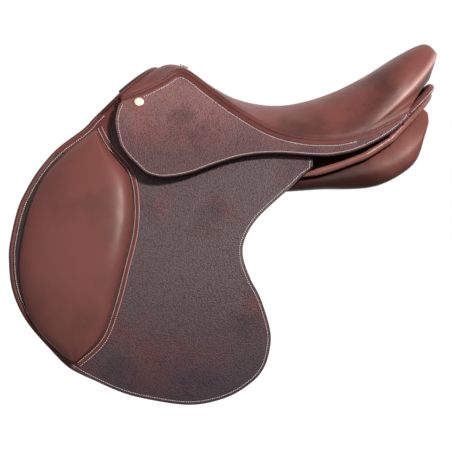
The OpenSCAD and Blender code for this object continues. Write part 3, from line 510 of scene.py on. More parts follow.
def settle(piece, material, smooth_angle=50):
    piece.data.materials.clear()
    for m in material if isinstance(material, (list, tuple)) else [material]:
        piece.data.materials.append(m)
    only(piece)
    bpy.ops.object.shade_smooth_by_angle(angle=math.radians(smooth_angle))
    return piece


def grid_piece(name, rows, cols, where):
    """A grid primitive whose corners go to where(u, v), both from 0 to 1, in millimetres."""
    start_clean()
    bpy.ops.mesh.primitive_grid_add(x_subdivisions=cols, y_subdivisions=rows, size=1, location=(0, 0, 0))
    piece = bpy.context.object
    piece.name = name
    for v in piece.data.vertices:
        v.co = Vector(where(v.co.y + .5, v.co.x + .5)) * MM
    return piece


def roll_piece(name, points, radius, shares=None, smooth=3):
    """A round roll along points in millimetres; shares vary its radius along the way."""
    start_clean()
    bpy.ops.curve.primitive_nurbs_path_add(radius=1, location=(0, 0, 0))
    piece = bpy.context.object
    piece.name = name
    line = piece.data
    line.splines.clear()
    spline = line.splines.new("POLY")
    spline.points.add(len(points) - 1)
    for i, p in enumerate(points):
        spline.points[i].co = (*(Vector(p) * MM), 1)
        spline.points[i].radius = shares[i] if shares else 1
    line.dimensions = "3D"
    line.bevel_depth = radius * MM
    line.bevel_resolution = smooth
    line.use_fill_caps = True
    bpy.ops.object.convert(target="MESH")
    face_outwards(piece)
    return piece


def twin(piece, name):
    """The mirrored piece on the left side, with its own mesh."""
    only(piece)
    bpy.ops.object.duplicate()
    copy = bpy.context.object
    copy.name = name
    for v in copy.data.vertices:
        v.co.y = -v.co.y
    edit(copy, FLIP)
    return copy


def both(piece, name):
    piece.name = "right_" + name
    return {"right": piece, "left": twin(piece, "left_" + name)}


def thin_sheet(name, rows, cols, where, thick, offset, material):
    """A thin sheet for both sides; offset 1 thickens it outwards, -1 inwards."""
    piece = grid_piece(name, rows, cols, where)
    face_right(piece)
    apply_modifier(piece, "SOLIDIFY", thickness=thick * MM, offset=offset)
    return both(settle(piece, material, 60), name)


def nearest(points, u):
    """The point closest to share u of an evenly spaced line."""
    return points[min(int(round(u * (len(points) - 1))), len(points) - 1)]


# One stitch: a short cylinder whose ends are drawn in
start_clean()
bpy.ops.mesh.primitive_cylinder_add(vertices=6, radius=1, depth=2, location=(0, 0, 0))
stitch = bpy.context.object
edit(stitch, (bpy.ops.mesh.subdivide, {"number_cuts": 1}))
STITCH = [(v.co.x, v.co.y, v.co.z) for v in stitch.data.vertices]
STITCH = [(x * (1 - .55 * abs(z)), y * (1 - .55 * abs(z)), z) for x, y, z in STITCH]
STITCH_FACES = [tuple(f.vertices) for f in stitch.data.polygons]
bpy.data.objects.remove(stitch)


def stitch_row(name, spots, length=2.4, pitch=3.1, radius=.62, lift=.15):
    """Stitches along (point, normal) pairs in millimetres, as one piece."""
    points = [p for p, n in spots]
    total = sum(math.dist(a, b) for a, b in zip(points, points[1:]))
    count = max(int(total / pitch), 2)
    places = even([tuple(p) + tuple(n) for p, n in spots], count)
    verts, faces = [], []
    for i in range(count - 1):
        p, n = Vector(places[i][:3]), Vector(places[i][3:]).normalized()
        along = (Vector(places[i + 1][:3]) - p).normalized()
        side = n.cross(along).normalized()
        base = len(verts)
        for x, y, z in STITCH:
            verts.append((p + n * lift + side * x * radius + n * y * radius + along * z * length / 2) * MM)
        faces += [tuple(base + k for k in f) for f in STITCH_FACES]
    mesh = bpy.data.meshes.new(name)
    mesh.from_pydata(verts, [], faces)
    piece = bpy.data.objects.new(name, mesh)
    bpy.context.scene.collection.objects.link(piece)
    face_outwards(piece)
    return settle(piece, thread, 80)


def on_surface(surface, line, off):
    return [(Vector(surface(x, z, off)), normal_of(surface, x, z, off)) for x, z in line]


print("stitch faces", len(STITCH_FACES))

# %% [markdown]
# ## Hinges of flap and skirt
# Flap and skirt bend along their upper edge when a hand lifts them. For a piece that crosses such a fold the start
# and end of the bend are worked out, but the piece is not blended across the fold: it keeps its shape and only has
# its transform put into its mesh. The fold's place and direction come from the joint in the imported record.

# %% Folds
joints = {j["name"]: j for j in frame["joints"]}


def fold(side, name, above, below):
    """Start and end of the bend across a hinge, in metres, square to its axis and along the flank."""
    joint = joints[f"{side}_{name}_lift"]
    spot, axis = Vector(joint["pos_m"]), Vector(joint["axis"]).normalized()
    x, y, z = spot / MM
    out = normal_of(flank, x, z, 0)
    out = Vector((out.x, out.y if side == "right" else -out.y, out.z))
    up = axis.cross(out).normalized()
    up = up if up.z > 0 else -up
    return spot + up * above * MM, spot - up * below * MM


FLAP_FOLD, SKIRT_FOLD = (1, 9), (3, 9)


def bends(pieces, name, zone):
    for side, piece in pieces.items():
        start, end = fold(side, name, *zone)
        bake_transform(piece)


def rides(pieces, body):
    for side, piece in pieces.items():
        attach(piece, body.replace("*", side))


def stands_for(pieces, *nodes):
    for side, piece in pieces.items():
        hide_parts(*[n.replace("*", side) for n in nodes])


def sew(name, spots, hinge=None, zone=None):
    """A row of stitches on both sides; with a hinge it is not blended across it, without one it rides on the flap.
    """
    rows = both(stitch_row(name, spots), name)
    if hinge:
        bends(rows, hinge, zone)
    else:
        rides(rows, "*_flap")


print("folds at", [tuple(round(c, 3) for c in fold("right", n, 0, 1)[0]) for n in ("flap", "skirt")])

# %% [markdown]
# ## Seat
# The seat is one skin of calf drawn over foam: it falls from the pommel to the deepest point, sweeps up to the
# cantle and folds over its ridge to the back. A grid carried to the pattern surface gives its fall, smoothing the
# ridge's rows in edit mode gives the rounded fold, and Solidify gives the leather its thickness inwards. A pale
# painted highlight lies along the ridge: an attribute marks how near each corner lies to it, for the finish to read.

# %% Seat skin
RIM_RISE = 7.3  # from the welt line up to the rim of the skin
TOP_ROWS, BACK_ROWS, SEAT_COLS = 60, 12, 52
HEM_COLS, HEM_DROP = 2, 9
SKIRT_MID = SKIRT_STAND + SKIRT_THICK / 2
SEAT_LEATHER, HIGHLIGHT_REACH, HIGHLIGHT_END = 2.2, 5, .84


def seat_point(u, t):
    c, w = curve_at(crown_line, u), curve_at(welt_line, u)
    rim = w[1] + RIM_RISE
    half = skirt(w[0], rim, SKIRT_MID)[1]
    s, near_ridge = abs(t), max((u - .7) / .3, 0)
    return (c[0] + (w[0] - c[0]) * s ** (2 + near_ridge ** 2), t * half, c[1] + (rim - c[1]) * s ** 2.4)


def back_point(v, t):
    ridge, rim, s = seat_point(1, t), welt_tail[1] + RIM_RISE, abs(t)
    half = skirt(welt_tail[0], rim, SKIRT_MID)[1]
    foot = (back_foot[0] + (welt_tail[0] - back_foot[0]) * s ** 2, t * half,
            back_foot[1] + (rim - back_foot[1]) * s ** 2.4)
    return lerp(ridge, foot, v)


def seat_where(u, v):
    col, row = v * SEAT_COLS, u * (TOP_ROWS + BACK_ROWS)
    share = min(max((col - HEM_COLS) / (SEAT_COLS - 2 * HEM_COLS), 0), 1)
    t = math.sin(math.pi * (share - .5))
    hem = max(HEM_COLS - col, col - SEAT_COLS + HEM_COLS, 0) / HEM_COLS
    if row <= TOP_ROWS + 1e-6:
        x, y, z = seat_point(1 - (1 - row / TOP_ROWS) ** 1.3, t)
    else:
        x, y, z = back_point(((row - TOP_ROWS) / BACK_ROWS) ** 1.4, t)
    if hem > 0:
        z -= HEM_DROP * hem
        y = math.copysign(skirt(x, z, SKIRT_MID - 2 * hem)[1], y)
    return (x, y, z)


seat = grid_piece("seat", TOP_ROWS + BACK_ROWS, SEAT_COLS, seat_where)
ridge_rows = range(TOP_ROWS - 1, TOP_ROWS + 2)
row_size = SEAT_COLS + 1
choose(seat, lambda i: i // row_size in ridge_rows and HEM_COLS < i % row_size < SEAT_COLS - HEM_COLS)
bpy.ops.mesh.vertices_smooth(factor=.5, repeat=1)
edit(seat, AGREE)
middle = seat.data.polygons[(TOP_ROWS // 2) * SEAT_COLS + SEAT_COLS // 2]
if middle.normal.z < 0:
    edit(seat, FLIP)
# Painted highlight: 1 on the ridge, fading with distance from it and towards the sides; the finish paints it pale.
ridge_highlight_paint = seat.data.attributes.new("ridge_highlight_paint", "FLOAT", "POINT")
for i in range(len(seat.data.vertices)):
    row, col = divmod(i, row_size)
    away = (seat.data.vertices[i].co - seat.data.vertices[TOP_ROWS * row_size + col].co).length / MM
    aside = abs(2 * col / SEAT_COLS - 1)
    ridge_highlight_paint.data[i].value = math.exp(-(away / HIGHLIGHT_REACH) ** 2) * min(1, 3 * max(HIGHLIGHT_END - aside, 0))
apply_modifier(seat, "SOLIDIFY", thickness=SEAT_LEATHER * MM, offset=-1)
subdivide(seat, 1)
settle(seat, seat_calf, 60)
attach(seat, "saddle")
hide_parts("seat_cover")
print("seat", len(seat.data.polygons), "faces")

# %% [markdown]
# ## Piping and rolls
# Piping is a thin strip of leather folded round a cord and caught in the seam. It is a path with a round section.
# The welt runs between seat and skirt, a roll closes the front of the pommel's arch, its near-black colour painted
# shade, and two fuller rolls lie below the cantle.

# %% Piping of the seat and rolls of the cantle
WELT_RADIUS, WELT_POINTS = 3, 110
welt_path = [skirt(x, z, SKIRT_OUT - 1.2) for x, z in even(welt_full, WELT_POINTS)]
welt_taper = [min(1, 1.25 - .75 * i / WELT_POINTS) for i in range(WELT_POINTS)]
welts = both(settle(roll_piece("seat_welt", welt_path, WELT_RADIUS, welt_taper), trim_calf), "seat_welt")
rides(welts, "saddle")
stands_for(welts, "*_seat_welt")

BAND_MIDDLE, BAND_END = seat_spots([(.976, .708), (.8, .389)])
BAND_RADIUS = 5.5


def band_spot(t):
    s = abs(t)
    half = skirt(BAND_END[0], BAND_END[1], SKIRT_STAND)[1] - 2 * BAND_RADIUS
    return Vector((BAND_MIDDLE[0] + (BAND_END[0] - BAND_MIDDLE[0]) * s ** 2.5, t * half,
                   BAND_MIDDLE[1] + (BAND_END[1] - BAND_MIDDLE[1]) * s ** 2.4))


def band_line(row):
    line = []
    for i in range(73):
        t = math.sin(math.pi * (i / 72 - .5))
        along = (band_spot(min(t + .01, 1)) - band_spot(max(t - .01, -1))).normalized()
        down = Vector((-.3, 0, -1))
        square = (down - down.dot(along) * along).normalized()
        line.append(band_spot(t) + square * row * (2 * BAND_RADIUS + .4))
    return line


# The lower roll's lighter calf is partly painted highlight.
for row, node in enumerate(("cantle_welt", "cantle_band")):
    roll = settle(roll_piece(node + "_roll", band_line(row), BAND_RADIUS, smooth=5), (trim_calf, roll_calf)[row])
    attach(roll, "saddle")
    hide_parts(node)


def arch_line(ahead, below, span):
    line = []
    for i in range(61):
        t = span * math.sin(math.pi * (i / 60 - .5))
        along = (Vector(seat_point(0, min(t + .01, 1))) - Vector(seat_point(0, max(t - .01, -1)))).normalized()
        front = Vector((-1, 0, 0))
        square = (front - front.dot(along) * along).normalized()
        line.append(Vector(seat_point(0, t)) + Vector((0, 0, -below)) + square * ahead)
    return line


# The pommel roll's near-black colour is painted shade at the front of the arch.
facing = settle(roll_piece("pommel_roll", arch_line(3.6, 1.6, .97), 4.2, smooth=5), dark_roll)
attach(facing, "saddle")
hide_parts("pommel_facing")
print("rolls made")

# %% [markdown]
# ## Skirts
# The skirt is a sheet of grained hide that starts under the welt, stands off the flap over the stirrup bar and
# ends in a long tip below the cantle. It is lofted between the welt line and its cut lower edge, so its rows
# follow both, and the front corner is paired with the welt's peak. The last column is a narrow band along the cut
# edge, which is bevelled and pale, and Solidify gives the rim the same finish and the inside its flesh side.

# %% Skirt sheets
WELT_CLEAR, FRONT_SHARE, SKIRT_ROWS, SKIRT_COLS, EDGE_BAND = 2.8, .24, 150, 26, 2.2
SKIRT_CORNER = (-163, 22)
upper = [(x, z - WELT_CLEAR) for x, z in welt_full]
peak = max(range(len(upper)), key=lambda i: upper[i][1])
corner = min(range(len(skirt_edge)), key=lambda i: math.dist(skirt_edge[i], SKIRT_CORNER))


def two_part(line, split):
    return even(line[:split + 1], 80), even(line[split:], 240)


upper_parts, lower_parts = two_part(upper, peak), two_part(skirt_edge, corner)
band_parts = two_part(inset(skirt_edge, EDGE_BAND), corner)


def on_parts(parts, u):
    part, share = parts[0], u / FRONT_SHARE
    if u >= FRONT_SHARE:
        part, share = parts[1], (u - FRONT_SHARE) / (1 - FRONT_SHARE)
    s = share * (len(part) - 1)
    i = min(int(s), len(part) - 2)
    return lerp(part[i], part[i + 1], s - i)


def skirt_where(u, v):
    if v > 1 - .5 / SKIRT_COLS:
        x, z = on_parts(lower_parts, u)
    else:
        x, z = lerp(on_parts(upper_parts, u), on_parts(band_parts, u), v * SKIRT_COLS / (SKIRT_COLS - 1))
    return skirt(x, z, SKIRT_STAND)


def mark_band(piece, materials, in_band):
    """Give a hide sheet its three finishes, the second one on the faces of its edge band."""
    for material in materials:
        piece.data.materials.append(material)
    for f in piece.data.polygons:
        f.material_index = 1 if in_band(f.index) else 0


def thicken(piece, thick):
    """Thickness outwards, the cut edge on the rim and the flesh side within."""
    face_right(piece)
    apply_modifier(piece, "SOLIDIFY", thickness=thick * MM, offset=1, material_offset=2, material_offset_rim=1)


skirt_looks = (skirt_hide, cut_edge, flesh_side)
sheet = grid_piece("skirt_sheet", SKIRT_ROWS, SKIRT_COLS, skirt_where)
mark_band(sheet, skirt_looks, lambda i: i % SKIRT_COLS == SKIRT_COLS - 1)
thicken(sheet, SKIRT_THICK)
skirts = both(settle(sheet, skirt_looks, 40), "skirt_sheet")
bends(skirts, "skirt", SKIRT_FOLD)
stands_for(skirts, "*_skirt", "*_skirt_top")
print("skirt", len(sheet.data.polygons), "faces")

# %% [markdown]
# A strip of smooth calf is sewn over the skirt's upper edge, under the welt, and narrows towards the front. One row
# of stitches holds it, with a short second row over its end, and another runs round the skirt's cut edge.

# %% Skirt trim and stitches
STRIP_TOP, STRIP_FOOT, STRIP_ROW, STRIP_ROWS, EDGE_ROW, BACK_TACK = 1.2, 7, 8.2, 180, 3.6, .9
ROW_START_X, ROW_END_X, STRIP_END_X = -184, 123, 186
strip_line = even([p for p in welt_full if p[0] < STRIP_END_X], STRIP_ROWS + 1)
strip_upper, strip_lower = inset(strip_line, -STRIP_TOP), inset(strip_line, -STRIP_FOOT)


def strip_where(u, v):
    x, z = lerp(nearest(strip_upper, u), nearest(strip_lower, u), v * min(1, .3 + 7 * u))
    return skirt(x, z, SKIRT_OUT - .3 + 1.1 * math.sqrt(max(1 - v ** 4, 0)))


strips = thin_sheet("skirt_strip", STRIP_ROWS, 6, strip_where, 1, -1, trim_calf)
bends(strips, "skirt", SKIRT_FOLD)

strip_row = [p for p in inset(strip_line, -STRIP_ROW) if ROW_START_X < p[0] < ROW_END_X]
tack_row = [(x, z + BACK_TACK) for x, z in strip_row[-5:]]
for name, row in (("skirt_strip_stitches", strip_row), ("skirt_back_tack", tack_row),
                  ("skirt_edge_stitches", inset(skirt_edge, EDGE_ROW))):
    sew(name, on_surface(skirt, row, SKIRT_OUT), "skirt", SKIRT_FOLD)
print("skirt stitches", len(strip_row), "and", len(skirt_edge), "points")

# %% [markdown]
# ## Nail and plate
# A domed nail pins the skirt at its front, and a small oval plate sits on the pommel. The nail starts as a sphere
# pressed flat, the plate as a short cylinder drawn out and inset, so that its rim stands round a dark middle.

# %% Nail and plate
NAIL_RADIUS, NAIL_RISE, NAIL_LIFT = 7, 2, .3
PLATE_U, PLATE_T, PLATE_LONG, PLATE_WIDE, PLATE_HIGH = .207, -.22, 6.5, 3.5, 1.1
nail_spot = seat_spots([(-.061, .602)])[0]
nail_at = Vector(skirt(*nail_spot, SKIRT_OUT))
nail_out = normal_of(skirt, *nail_spot, SKIRT_OUT)
start_clean()
bpy.ops.mesh.primitive_uv_sphere_add(segments=40, ring_count=20, radius=1, location=(0, 0, 0))
nail = bpy.context.object
to_nail = Vector((0, 0, 1)).rotation_difference(nail_out)
for v in nail.data.vertices:
    x, y, z = v.co.x * NAIL_RADIUS, v.co.y * NAIL_RADIUS, max(v.co.z, -.1) * NAIL_RISE
    v.co = (nail_at + to_nail @ Vector((x, y, z + NAIL_LIFT))) * MM
face_outwards(nail)
nails = both(settle(nail, nail_gold), "nail")
rides(nails, "saddle")
stands_for(nails, "*_skirt_nail")

start_clean()
bpy.ops.mesh.primitive_cylinder_add(vertices=48, radius=1, depth=2, location=(0, 0, 0))
plate = bpy.context.object
plate.name = "oval_plate"
bpy.ops.object.mode_set(mode="EDIT")
bpy.ops.mesh.select_all(action="DESELECT")
bpy.ops.object.mode_set(mode="OBJECT")
for f in plate.data.polygons:
    f.select = f.normal.z > .9
bpy.ops.object.mode_set(mode="EDIT")
bpy.ops.mesh.inset(thickness=.3)
bpy.ops.transform.translate(value=(0, 0, -.5))
bpy.ops.object.mode_set(mode="OBJECT")
dark_face = [f.index for f in plate.data.polygons if f.normal.z > .9 and f.center.length < .6]
along = (Vector(seat_point(PLATE_U + .02, PLATE_T)) - Vector(seat_point(PLATE_U - .02, PLATE_T))).normalized()
across = (Vector(seat_point(PLATE_U, PLATE_T + .1)) - Vector(seat_point(PLATE_U, PLATE_T - .1))).normalized()
up = along.cross(across).normalized()
plate_at = Vector(seat_point(PLATE_U, PLATE_T)) * MM
for v in plate.data.vertices:
    spot = along * v.co.x * PLATE_LONG + across * v.co.y * PLATE_WIDE + up * (v.co.z * PLATE_HIGH + PLATE_HIGH)
    v.co = plate_at + spot * MM
settle(plate, (plate_silver, plate_dark), 40)
for i in dark_face:
    plate.data.polygons[i].material_index = 1
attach(plate, "saddle")
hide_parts("pommel_plate")
print("nail and plate made")

# %% [markdown]
# ## Flaps
# The flap is one large sheet of grained hide. A grid of rings round a point in its middle keeps every ring
# parallel to the cut edge, which a square grid can't, so the edge, its stitches and its wear follow the pattern.

# %% Flap sheets
FLAP_MIDDLE = (-200, -60)
RINGS, SPOKES, CENTRE_REACH = 30, 240, 7
hinge_front, hinge_rear = flap_edge[0], flap_edge[-1]
fold_line = [lerp(hinge_rear, hinge_front, i / 60) for i in range(1, 60)]
flap_round = even(flap_edge + fold_line + [hinge_front], SPOKES + 1)[:-1]


def flap_where(u, v):
    rim = flap_round[int(round(v * SPOKES)) % SPOKES]
    inner = lerp(rim, FLAP_MIDDLE, EDGE_BAND / math.dist(rim, FLAP_MIDDLE))
    x, z = rim if u > 1 - .5 / RINGS else lerp(FLAP_MIDDLE, inner, .02 + .98 * u * RINGS / (RINGS - 1))
    return flank(x, z, 0)


flap_looks = (flap_hide, cut_edge, flesh_side)
flap = grid_piece("flap_sheet", RINGS, SPOKES, flap_where)
mark_band(flap, flap_looks, lambda i: i >= (RINGS - 1) * SPOKES)
edit(flap, WELD)
centre = Vector(flank(*FLAP_MIDDLE, 0)) * MM
near_centre = [(v.co - centre).length < CENTRE_REACH * MM for v in flap.data.vertices]
choose(flap, lambda i: near_centre[i])
bpy.ops.mesh.edge_face_add()
thicken(flap, FLAP_THICK)
flaps = both(settle(flap, flap_looks, 40), "flap_sheet")
bends(flaps, "flap", FLAP_FOLD)
stands_for(flaps, "*_flap")
print("flap", len(flap.data.polygons), "faces")

# %% [markdown]
# A stitched line runs just inside the flap's cut edge, from below the pad round to the rear tip. In front a piping
# comes down from the pommel's arch and swells into the flap's binding, a thinner second binding lies inside it, and
# a cover of smooth calf closes the flap's upper front corner under the skirt.

# %% Flap stitches and front binding
FLAP_ROW, PAD_FOOT, REAR_TIP = 4.2, (-283, -236), [(51.6, 36), (52.6, 42), (53.2, 47)]
pad_end = min(range(len(flap_edge)), key=lambda i: math.dist(flap_edge[i], PAD_FOOT))
rear_row = inset(flap_edge, FLAP_ROW)[pad_end:-6] + REAR_TIP
sew("flap_edge_stitches", on_surface(flank, rear_row, FLAP_THICK), "flap", FLAP_FOLD)

PIPING, BINDING, INNER_BINDING, INNER_ROW = 2.4, 3.4, 1.5, 5.6
arch = [tuple(p) for p in arch_line(.5, -.5, 1)[30:]]
edge = [flank(x, z, FLAP_THICK / 2) for x, z in inset(flap_edge, .8)[6:pad_end + 14]]
between = [curve_at([arch[-6], arch[-1], edge[0], edge[5]], (1 + i / 8) / 3) for i in range(1, 8)]
line = arch + between + edge
swell = [PIPING] * len(arch) + [PIPING + (BINDING - PIPING) * i / 8 for i in range(1, 8)]
swell += [min(BINDING, .6 + (len(edge) - i) / 5) for i in range(len(edge))]
front_pipings = both(settle(roll_piece("front_piping", line, 1, swell), trim_calf), "front_piping")
bends(front_pipings, "flap", FLAP_FOLD)

second = [flank(x, z, FLAP_THICK + .2) for x, z in inset(flap_edge, INNER_ROW)[24:pad_end + 2]]
taper = [min(1, .3 + i / 10, .3 + (len(second) - 1 - i) / 10) for i in range(len(second))]
seconds = both(settle(roll_piece("inner_binding", second, INNER_BINDING, taper), trim_calf), "inner_binding")
rides(seconds, "*_flap")

COVER_OFF, COVER_ROWS, COVER_RISE, RISE_START, RISE_SPAN = FLAP_THICK + .15, 24, 9, 112, 24
cover_front = even([arch[-1][::2]] + inset(flap_edge, 1.5)[2:34], COVER_ROWS + 1)
cover_rear = even([(-200, 137), (-222, 116), (-231, 96), (-231, 76), (-226, 60)], COVER_ROWS + 1)


def cover_where(u, v):
    x, z = lerp(nearest(cover_front, u), nearest(cover_rear, u), v)
    near = min(max((z - RISE_START) / RISE_SPAN, 0), 1)
    return flank(x, z, COVER_OFF + COVER_RISE * near * near * (3 - 2 * near))


covers = thin_sheet("front_cover", COVER_ROWS, 14, cover_where, 1, 1, trim_calf)
bends(covers, "flap", FLAP_FOLD)
print("piping points", len(line))

# %% [markdown]
# ## Knee pads
# The pad is foam under calf, sewn down all round, highest towards its rear edge. One grid gives the pattern with a
# low crown and a second one its underside along the flap. With the two rims bridged and the underside pinned, a
# cloth simulation with pressure lets the leather find its own tight form, and a little smoothing eases its creases.


# %% Cloth tool
FRAMES = 20
def stuff(piece, pinned, pressure, cap):
    """Blow a closed form up by cloth simulation, its pinned corners held, no corner moving further than cap."""
    rest = [v.co.copy() for v in piece.data.vertices]
    held = piece.vertex_groups.new(name="sewn")
    held.add([i for i, p in enumerate(rest) if pinned(i, p)], 1, "REPLACE")
    only(piece)
    cloth = piece.modifiers.new("Cloth", "CLOTH")
    cloth.settings.quality = 5
    cloth.settings.vertex_group_mass = "sewn"
    cloth.settings.use_pressure = True
    cloth.settings.uniform_pressure_force = pressure
    cloth.settings.effector_weights.gravity = 0
    cloth.settings.tension_stiffness = 12
    cloth.settings.compression_stiffness = 12
    cloth.settings.bending_stiffness = 1.5
    cloth.point_cache.frame_start, cloth.point_cache.frame_end = 1, FRAMES
    for number in range(1, FRAMES + 1):
        bpy.context.scene.frame_set(number)
    bpy.ops.object.modifier_apply(modifier=cloth.name)
    bpy.context.scene.frame_set(1)
    moved = 0.0
    for v, p in zip(piece.data.vertices, rest):
        step = v.co - p
        if step.length > cap * MM:
            v.co = p + step.normalized() * cap * MM
        moved = max(moved, (v.co - p).length)
    piece.vertex_groups.clear()
    print(piece.name, "moved up to", round(moved / MM, 1), "mm")


def soften(piece, chosen, repeat):
    """Ease small creases out of the chosen corners."""
    choose(piece, chosen)
    bpy.ops.mesh.vertices_smooth(factor=.5, repeat=repeat)
    bpy.ops.object.mode_set(mode="OBJECT")


# %% Knee pads
PAD_ROWS, PAD_COLS = 56, 36
PAD_PEAK, PAD_FRONT_ROOM = .76, .015
PAD_PRESSURE, PAD_CAP, PAD_EASE = 6, 7, 6


def pad_spot(s, c):
    return lerp(curve_at(pad_front, s), curve_at(pad_rear, s), PAD_FRONT_ROOM + (1 - PAD_FRONT_ROOM) * c)


def pad_rise(s, c):
    """Low in front, full behind, with a steep rear side."""
    if c < PAD_PEAK:
        across = (1 - (1 - c / PAD_PEAK) ** 2.4) ** .54
    else:
        across = (1 - ((c - PAD_PEAK) / (1 - PAD_PEAK)) ** 2.8) ** .5
    along = math.sqrt(max(1 - abs(2 * s - 1) ** 3, 0))
    return PAD_RIM + .84 * PAD_CROWN * across * along


def gathered(u):
    """Shares that lie closer together at both ends."""
    return (1 - math.cos(math.pi * u)) / 2


def pad_where(u, v):
    s, c = gathered(u), gathered(v)
    return flank(*pad_spot(s, c), PAD_BASE + pad_rise(s, c))


def pad_base_where(u, v):
    """The pad's underside, lying along the flap."""
    x, y, z = flank(*pad_spot(gathered(u), gathered(v)), PAD_BASE + PAD_RIM)
    return flank(x, z, PAD_BASE - .2)


base = grid_piece("knee_pad_base", PAD_ROWS, PAD_COLS, pad_base_where)
pad = grid_piece("knee_pad", PAD_ROWS, PAD_COLS, pad_where)
top_size = len(pad.data.vertices)
only(pad)
base.select_set(True)
bpy.ops.object.join()
choose_rims(pad)
bpy.ops.mesh.bridge_edge_loops()
edit(pad, AGREE)
stuff(pad, lambda i, p: i >= top_size, PAD_PRESSURE, PAD_CAP)
soften(pad, lambda i: i < top_size, PAD_EASE)
subdivide(pad, 1)
pads = both(settle(pad, pad_calf, 70), "knee_pad_leather")
rides(pads, "*_flap")
stands_for(pads, "*_knee_pad")
print("pad", len(pad.data.polygons), "faces")

# %% [markdown]
# Behind the pad a narrow strip of calf covers the seam, with a row of stitches along each of its edges. It stands
# for the pad's piping. In front of the pad a row of stitches follows the binding, and a near-black sheet in the
# groove between binding and pad is painted shade.

# %% Strip behind the pad, painted shade in the groove in front of it
STRIP_WIDTH, STRIP_POINTS = 9.5, 160
pad_line = smooth_line(pad_rear, STRIP_POINTS)
inner_line, outer_line = inset(pad_line, .8), inset(pad_line, STRIP_WIDTH)


def pad_strip_where(u, v):
    x, z = lerp(nearest(inner_line, u), nearest(outer_line, u), v)
    return flank(x, z, FLAP_THICK + .3 + 1.7 * math.sqrt(max(1 - (2 * v - 1) ** 6, 0)))


pad_strips = thin_sheet("pad_strip", STRIP_POINTS - 1, 8, pad_strip_where, 1, -1, trim_calf)
rides(pad_strips, "*_flap")
stands_for(pad_strips, "*_pad_welt")
for label, shift in (("inner", 2.2), ("outer", STRIP_WIDTH - 1.6)):
    line = on_surface(flank, inset(pad_line, shift), FLAP_THICK + 1.9)
    sew(f"pad_strip_{label}_stitches", line)
front_row = on_surface(flank, inset(flap_edge, 6.2)[4:36], FLAP_THICK + 1.2)
front_row += on_surface(flank, inset(flap_edge, INNER_ROW)[38:pad_end - 4], FLAP_THICK + 1.5)
sew("pad_front_stitches", front_row, "flap", FLAP_FOLD)

# Painted shade: a near-black sheet lies in the groove between binding and pad.
groove_inner, groove_outer = (inset(flap_edge, shift)[34:pad_end - 8] for shift in (7, 17))
groove_last = len(groove_inner) - 1


def groove_where(u, v):
    i = min(int(round(u * groove_last)), groove_last)
    narrow = min(1, .2 + i / 8, .2 + (groove_last - i) / 8)
    return flank(*lerp(groove_inner[i], groove_outer[i], v * narrow), FLAP_THICK + .1)


grooves = thin_sheet("pad_groove_shade", groove_last, 4, groove_where, .5, 1, dark_roll)
rides(grooves, "*_flap")
print("pad strips and grooves made")

# %% [markdown]
# ## Panels
# The panels are the cushions between tree and horse. Each is a closed form lofted through its sections, blown up
# a little by cloth simulation with its upper side and front pinned, smoothed, and kept inside the room that the
# sweat flap leaves.

# %% Panels
PANEL_LENGTH, CHANNEL, PANEL_HALF, PANEL_LIMIT = 460, 34, 27, -16.9
PANEL_ROWS, PANEL_SIDES = 64, 40
PANEL_PRESSURE, PANEL_CAP, PANEL_EASE, PANEL_SLIM = 6, 5, 4, .95
PIN_SLOPE, PIN_FRONT_X = .25, -.15


def panel_section(p):
    outer_z = p[4] * CANTLE
    inner = Vector((p[1] * CHANNEL, p[2] * CANTLE))
    outer = Vector((p[3] * flank(0, outer_z, PANEL_LIMIT)[1], outer_z))
    middle, long = (inner + outer) / 2, (outer - inner) / 2
    thick = Vector((long.y, -long.x)).normalized() * p[5] * PANEL_HALF * PANEL_SLIM
    return [middle + math.cos(a) * long + math.sin(a) * thick
            for a in (2 * math.pi * k / PANEL_SIDES for k in range(PANEL_SIDES))]


def panel_ring(u):
    p = curve_at(PANEL, u)
    section = panel_section(p)
    excess = max(math.hypot(q.x - FLANK_Y, q.y - FLANK_Z) - FLANK_R - PANEL_LIMIT for q in section)
    lean = math.asin((p[2] * CANTLE - FLANK_Z) / FLANK_R)
    move = max(excess, 0) / math.cos(lean)
    return [((p[0] - .5) * PANEL_LENGTH, q.x - move, q.y) for q in section]


panel_rings = [panel_ring(i / PANEL_ROWS) for i in range(PANEL_ROWS + 1)]


def panel_where(u, v):
    return panel_rings[int(round(u * PANEL_ROWS))][int(round(v * PANEL_SIDES)) % PANEL_SIDES]


panel = grid_piece("panel", PANEL_ROWS, PANEL_SIDES, panel_where)
edit(panel, WELD)
choose_rims(panel)
bpy.ops.mesh.edge_face_add()
edit(panel, AGREE)
normals = [v.normal.copy() for v in panel.data.vertices]
stuff(panel, lambda i, p: normals[i].z > PIN_SLOPE or p.x < PIN_FRONT_X, PANEL_PRESSURE, PANEL_CAP)
soften(panel, lambda i: True, PANEL_EASE)
limit = FLANK_R + PANEL_LIMIT - .3
for v in panel.data.vertices:
    x, y, z = v.co / MM
    far = math.hypot(y - FLANK_Y, z - FLANK_Z)
    if far > limit:
        v.co = Vector((x, FLANK_Y + (y - FLANK_Y) * limit / far, FLANK_Z + (z - FLANK_Z) * limit / far)) * MM
subdivide(panel, 1)
panels = both(settle(panel, panel_calf, 70), "panel_leather")
rides(panels, "saddle")
stands_for(panels, "*_panel")
print("panel", len(panel.data.polygons), "faces")

# %% [markdown]
# A row of stitches runs along the upper roll of the cantle. The lower roll goes on forward, along the top of the
# panel and in the shadow of the skirt, where it covers the panel's seam.

# %% Band stitches and panel rolls
crest = []
for p in band_line(0)[3:-3]:
    out = Vector((.75, 1.1 * p.y / 100, .1)).normalized()
    crest.append((p + out * (BAND_RADIUS - .2), out))
row = stitch_row("band_stitches", crest)
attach(row, "saddle")

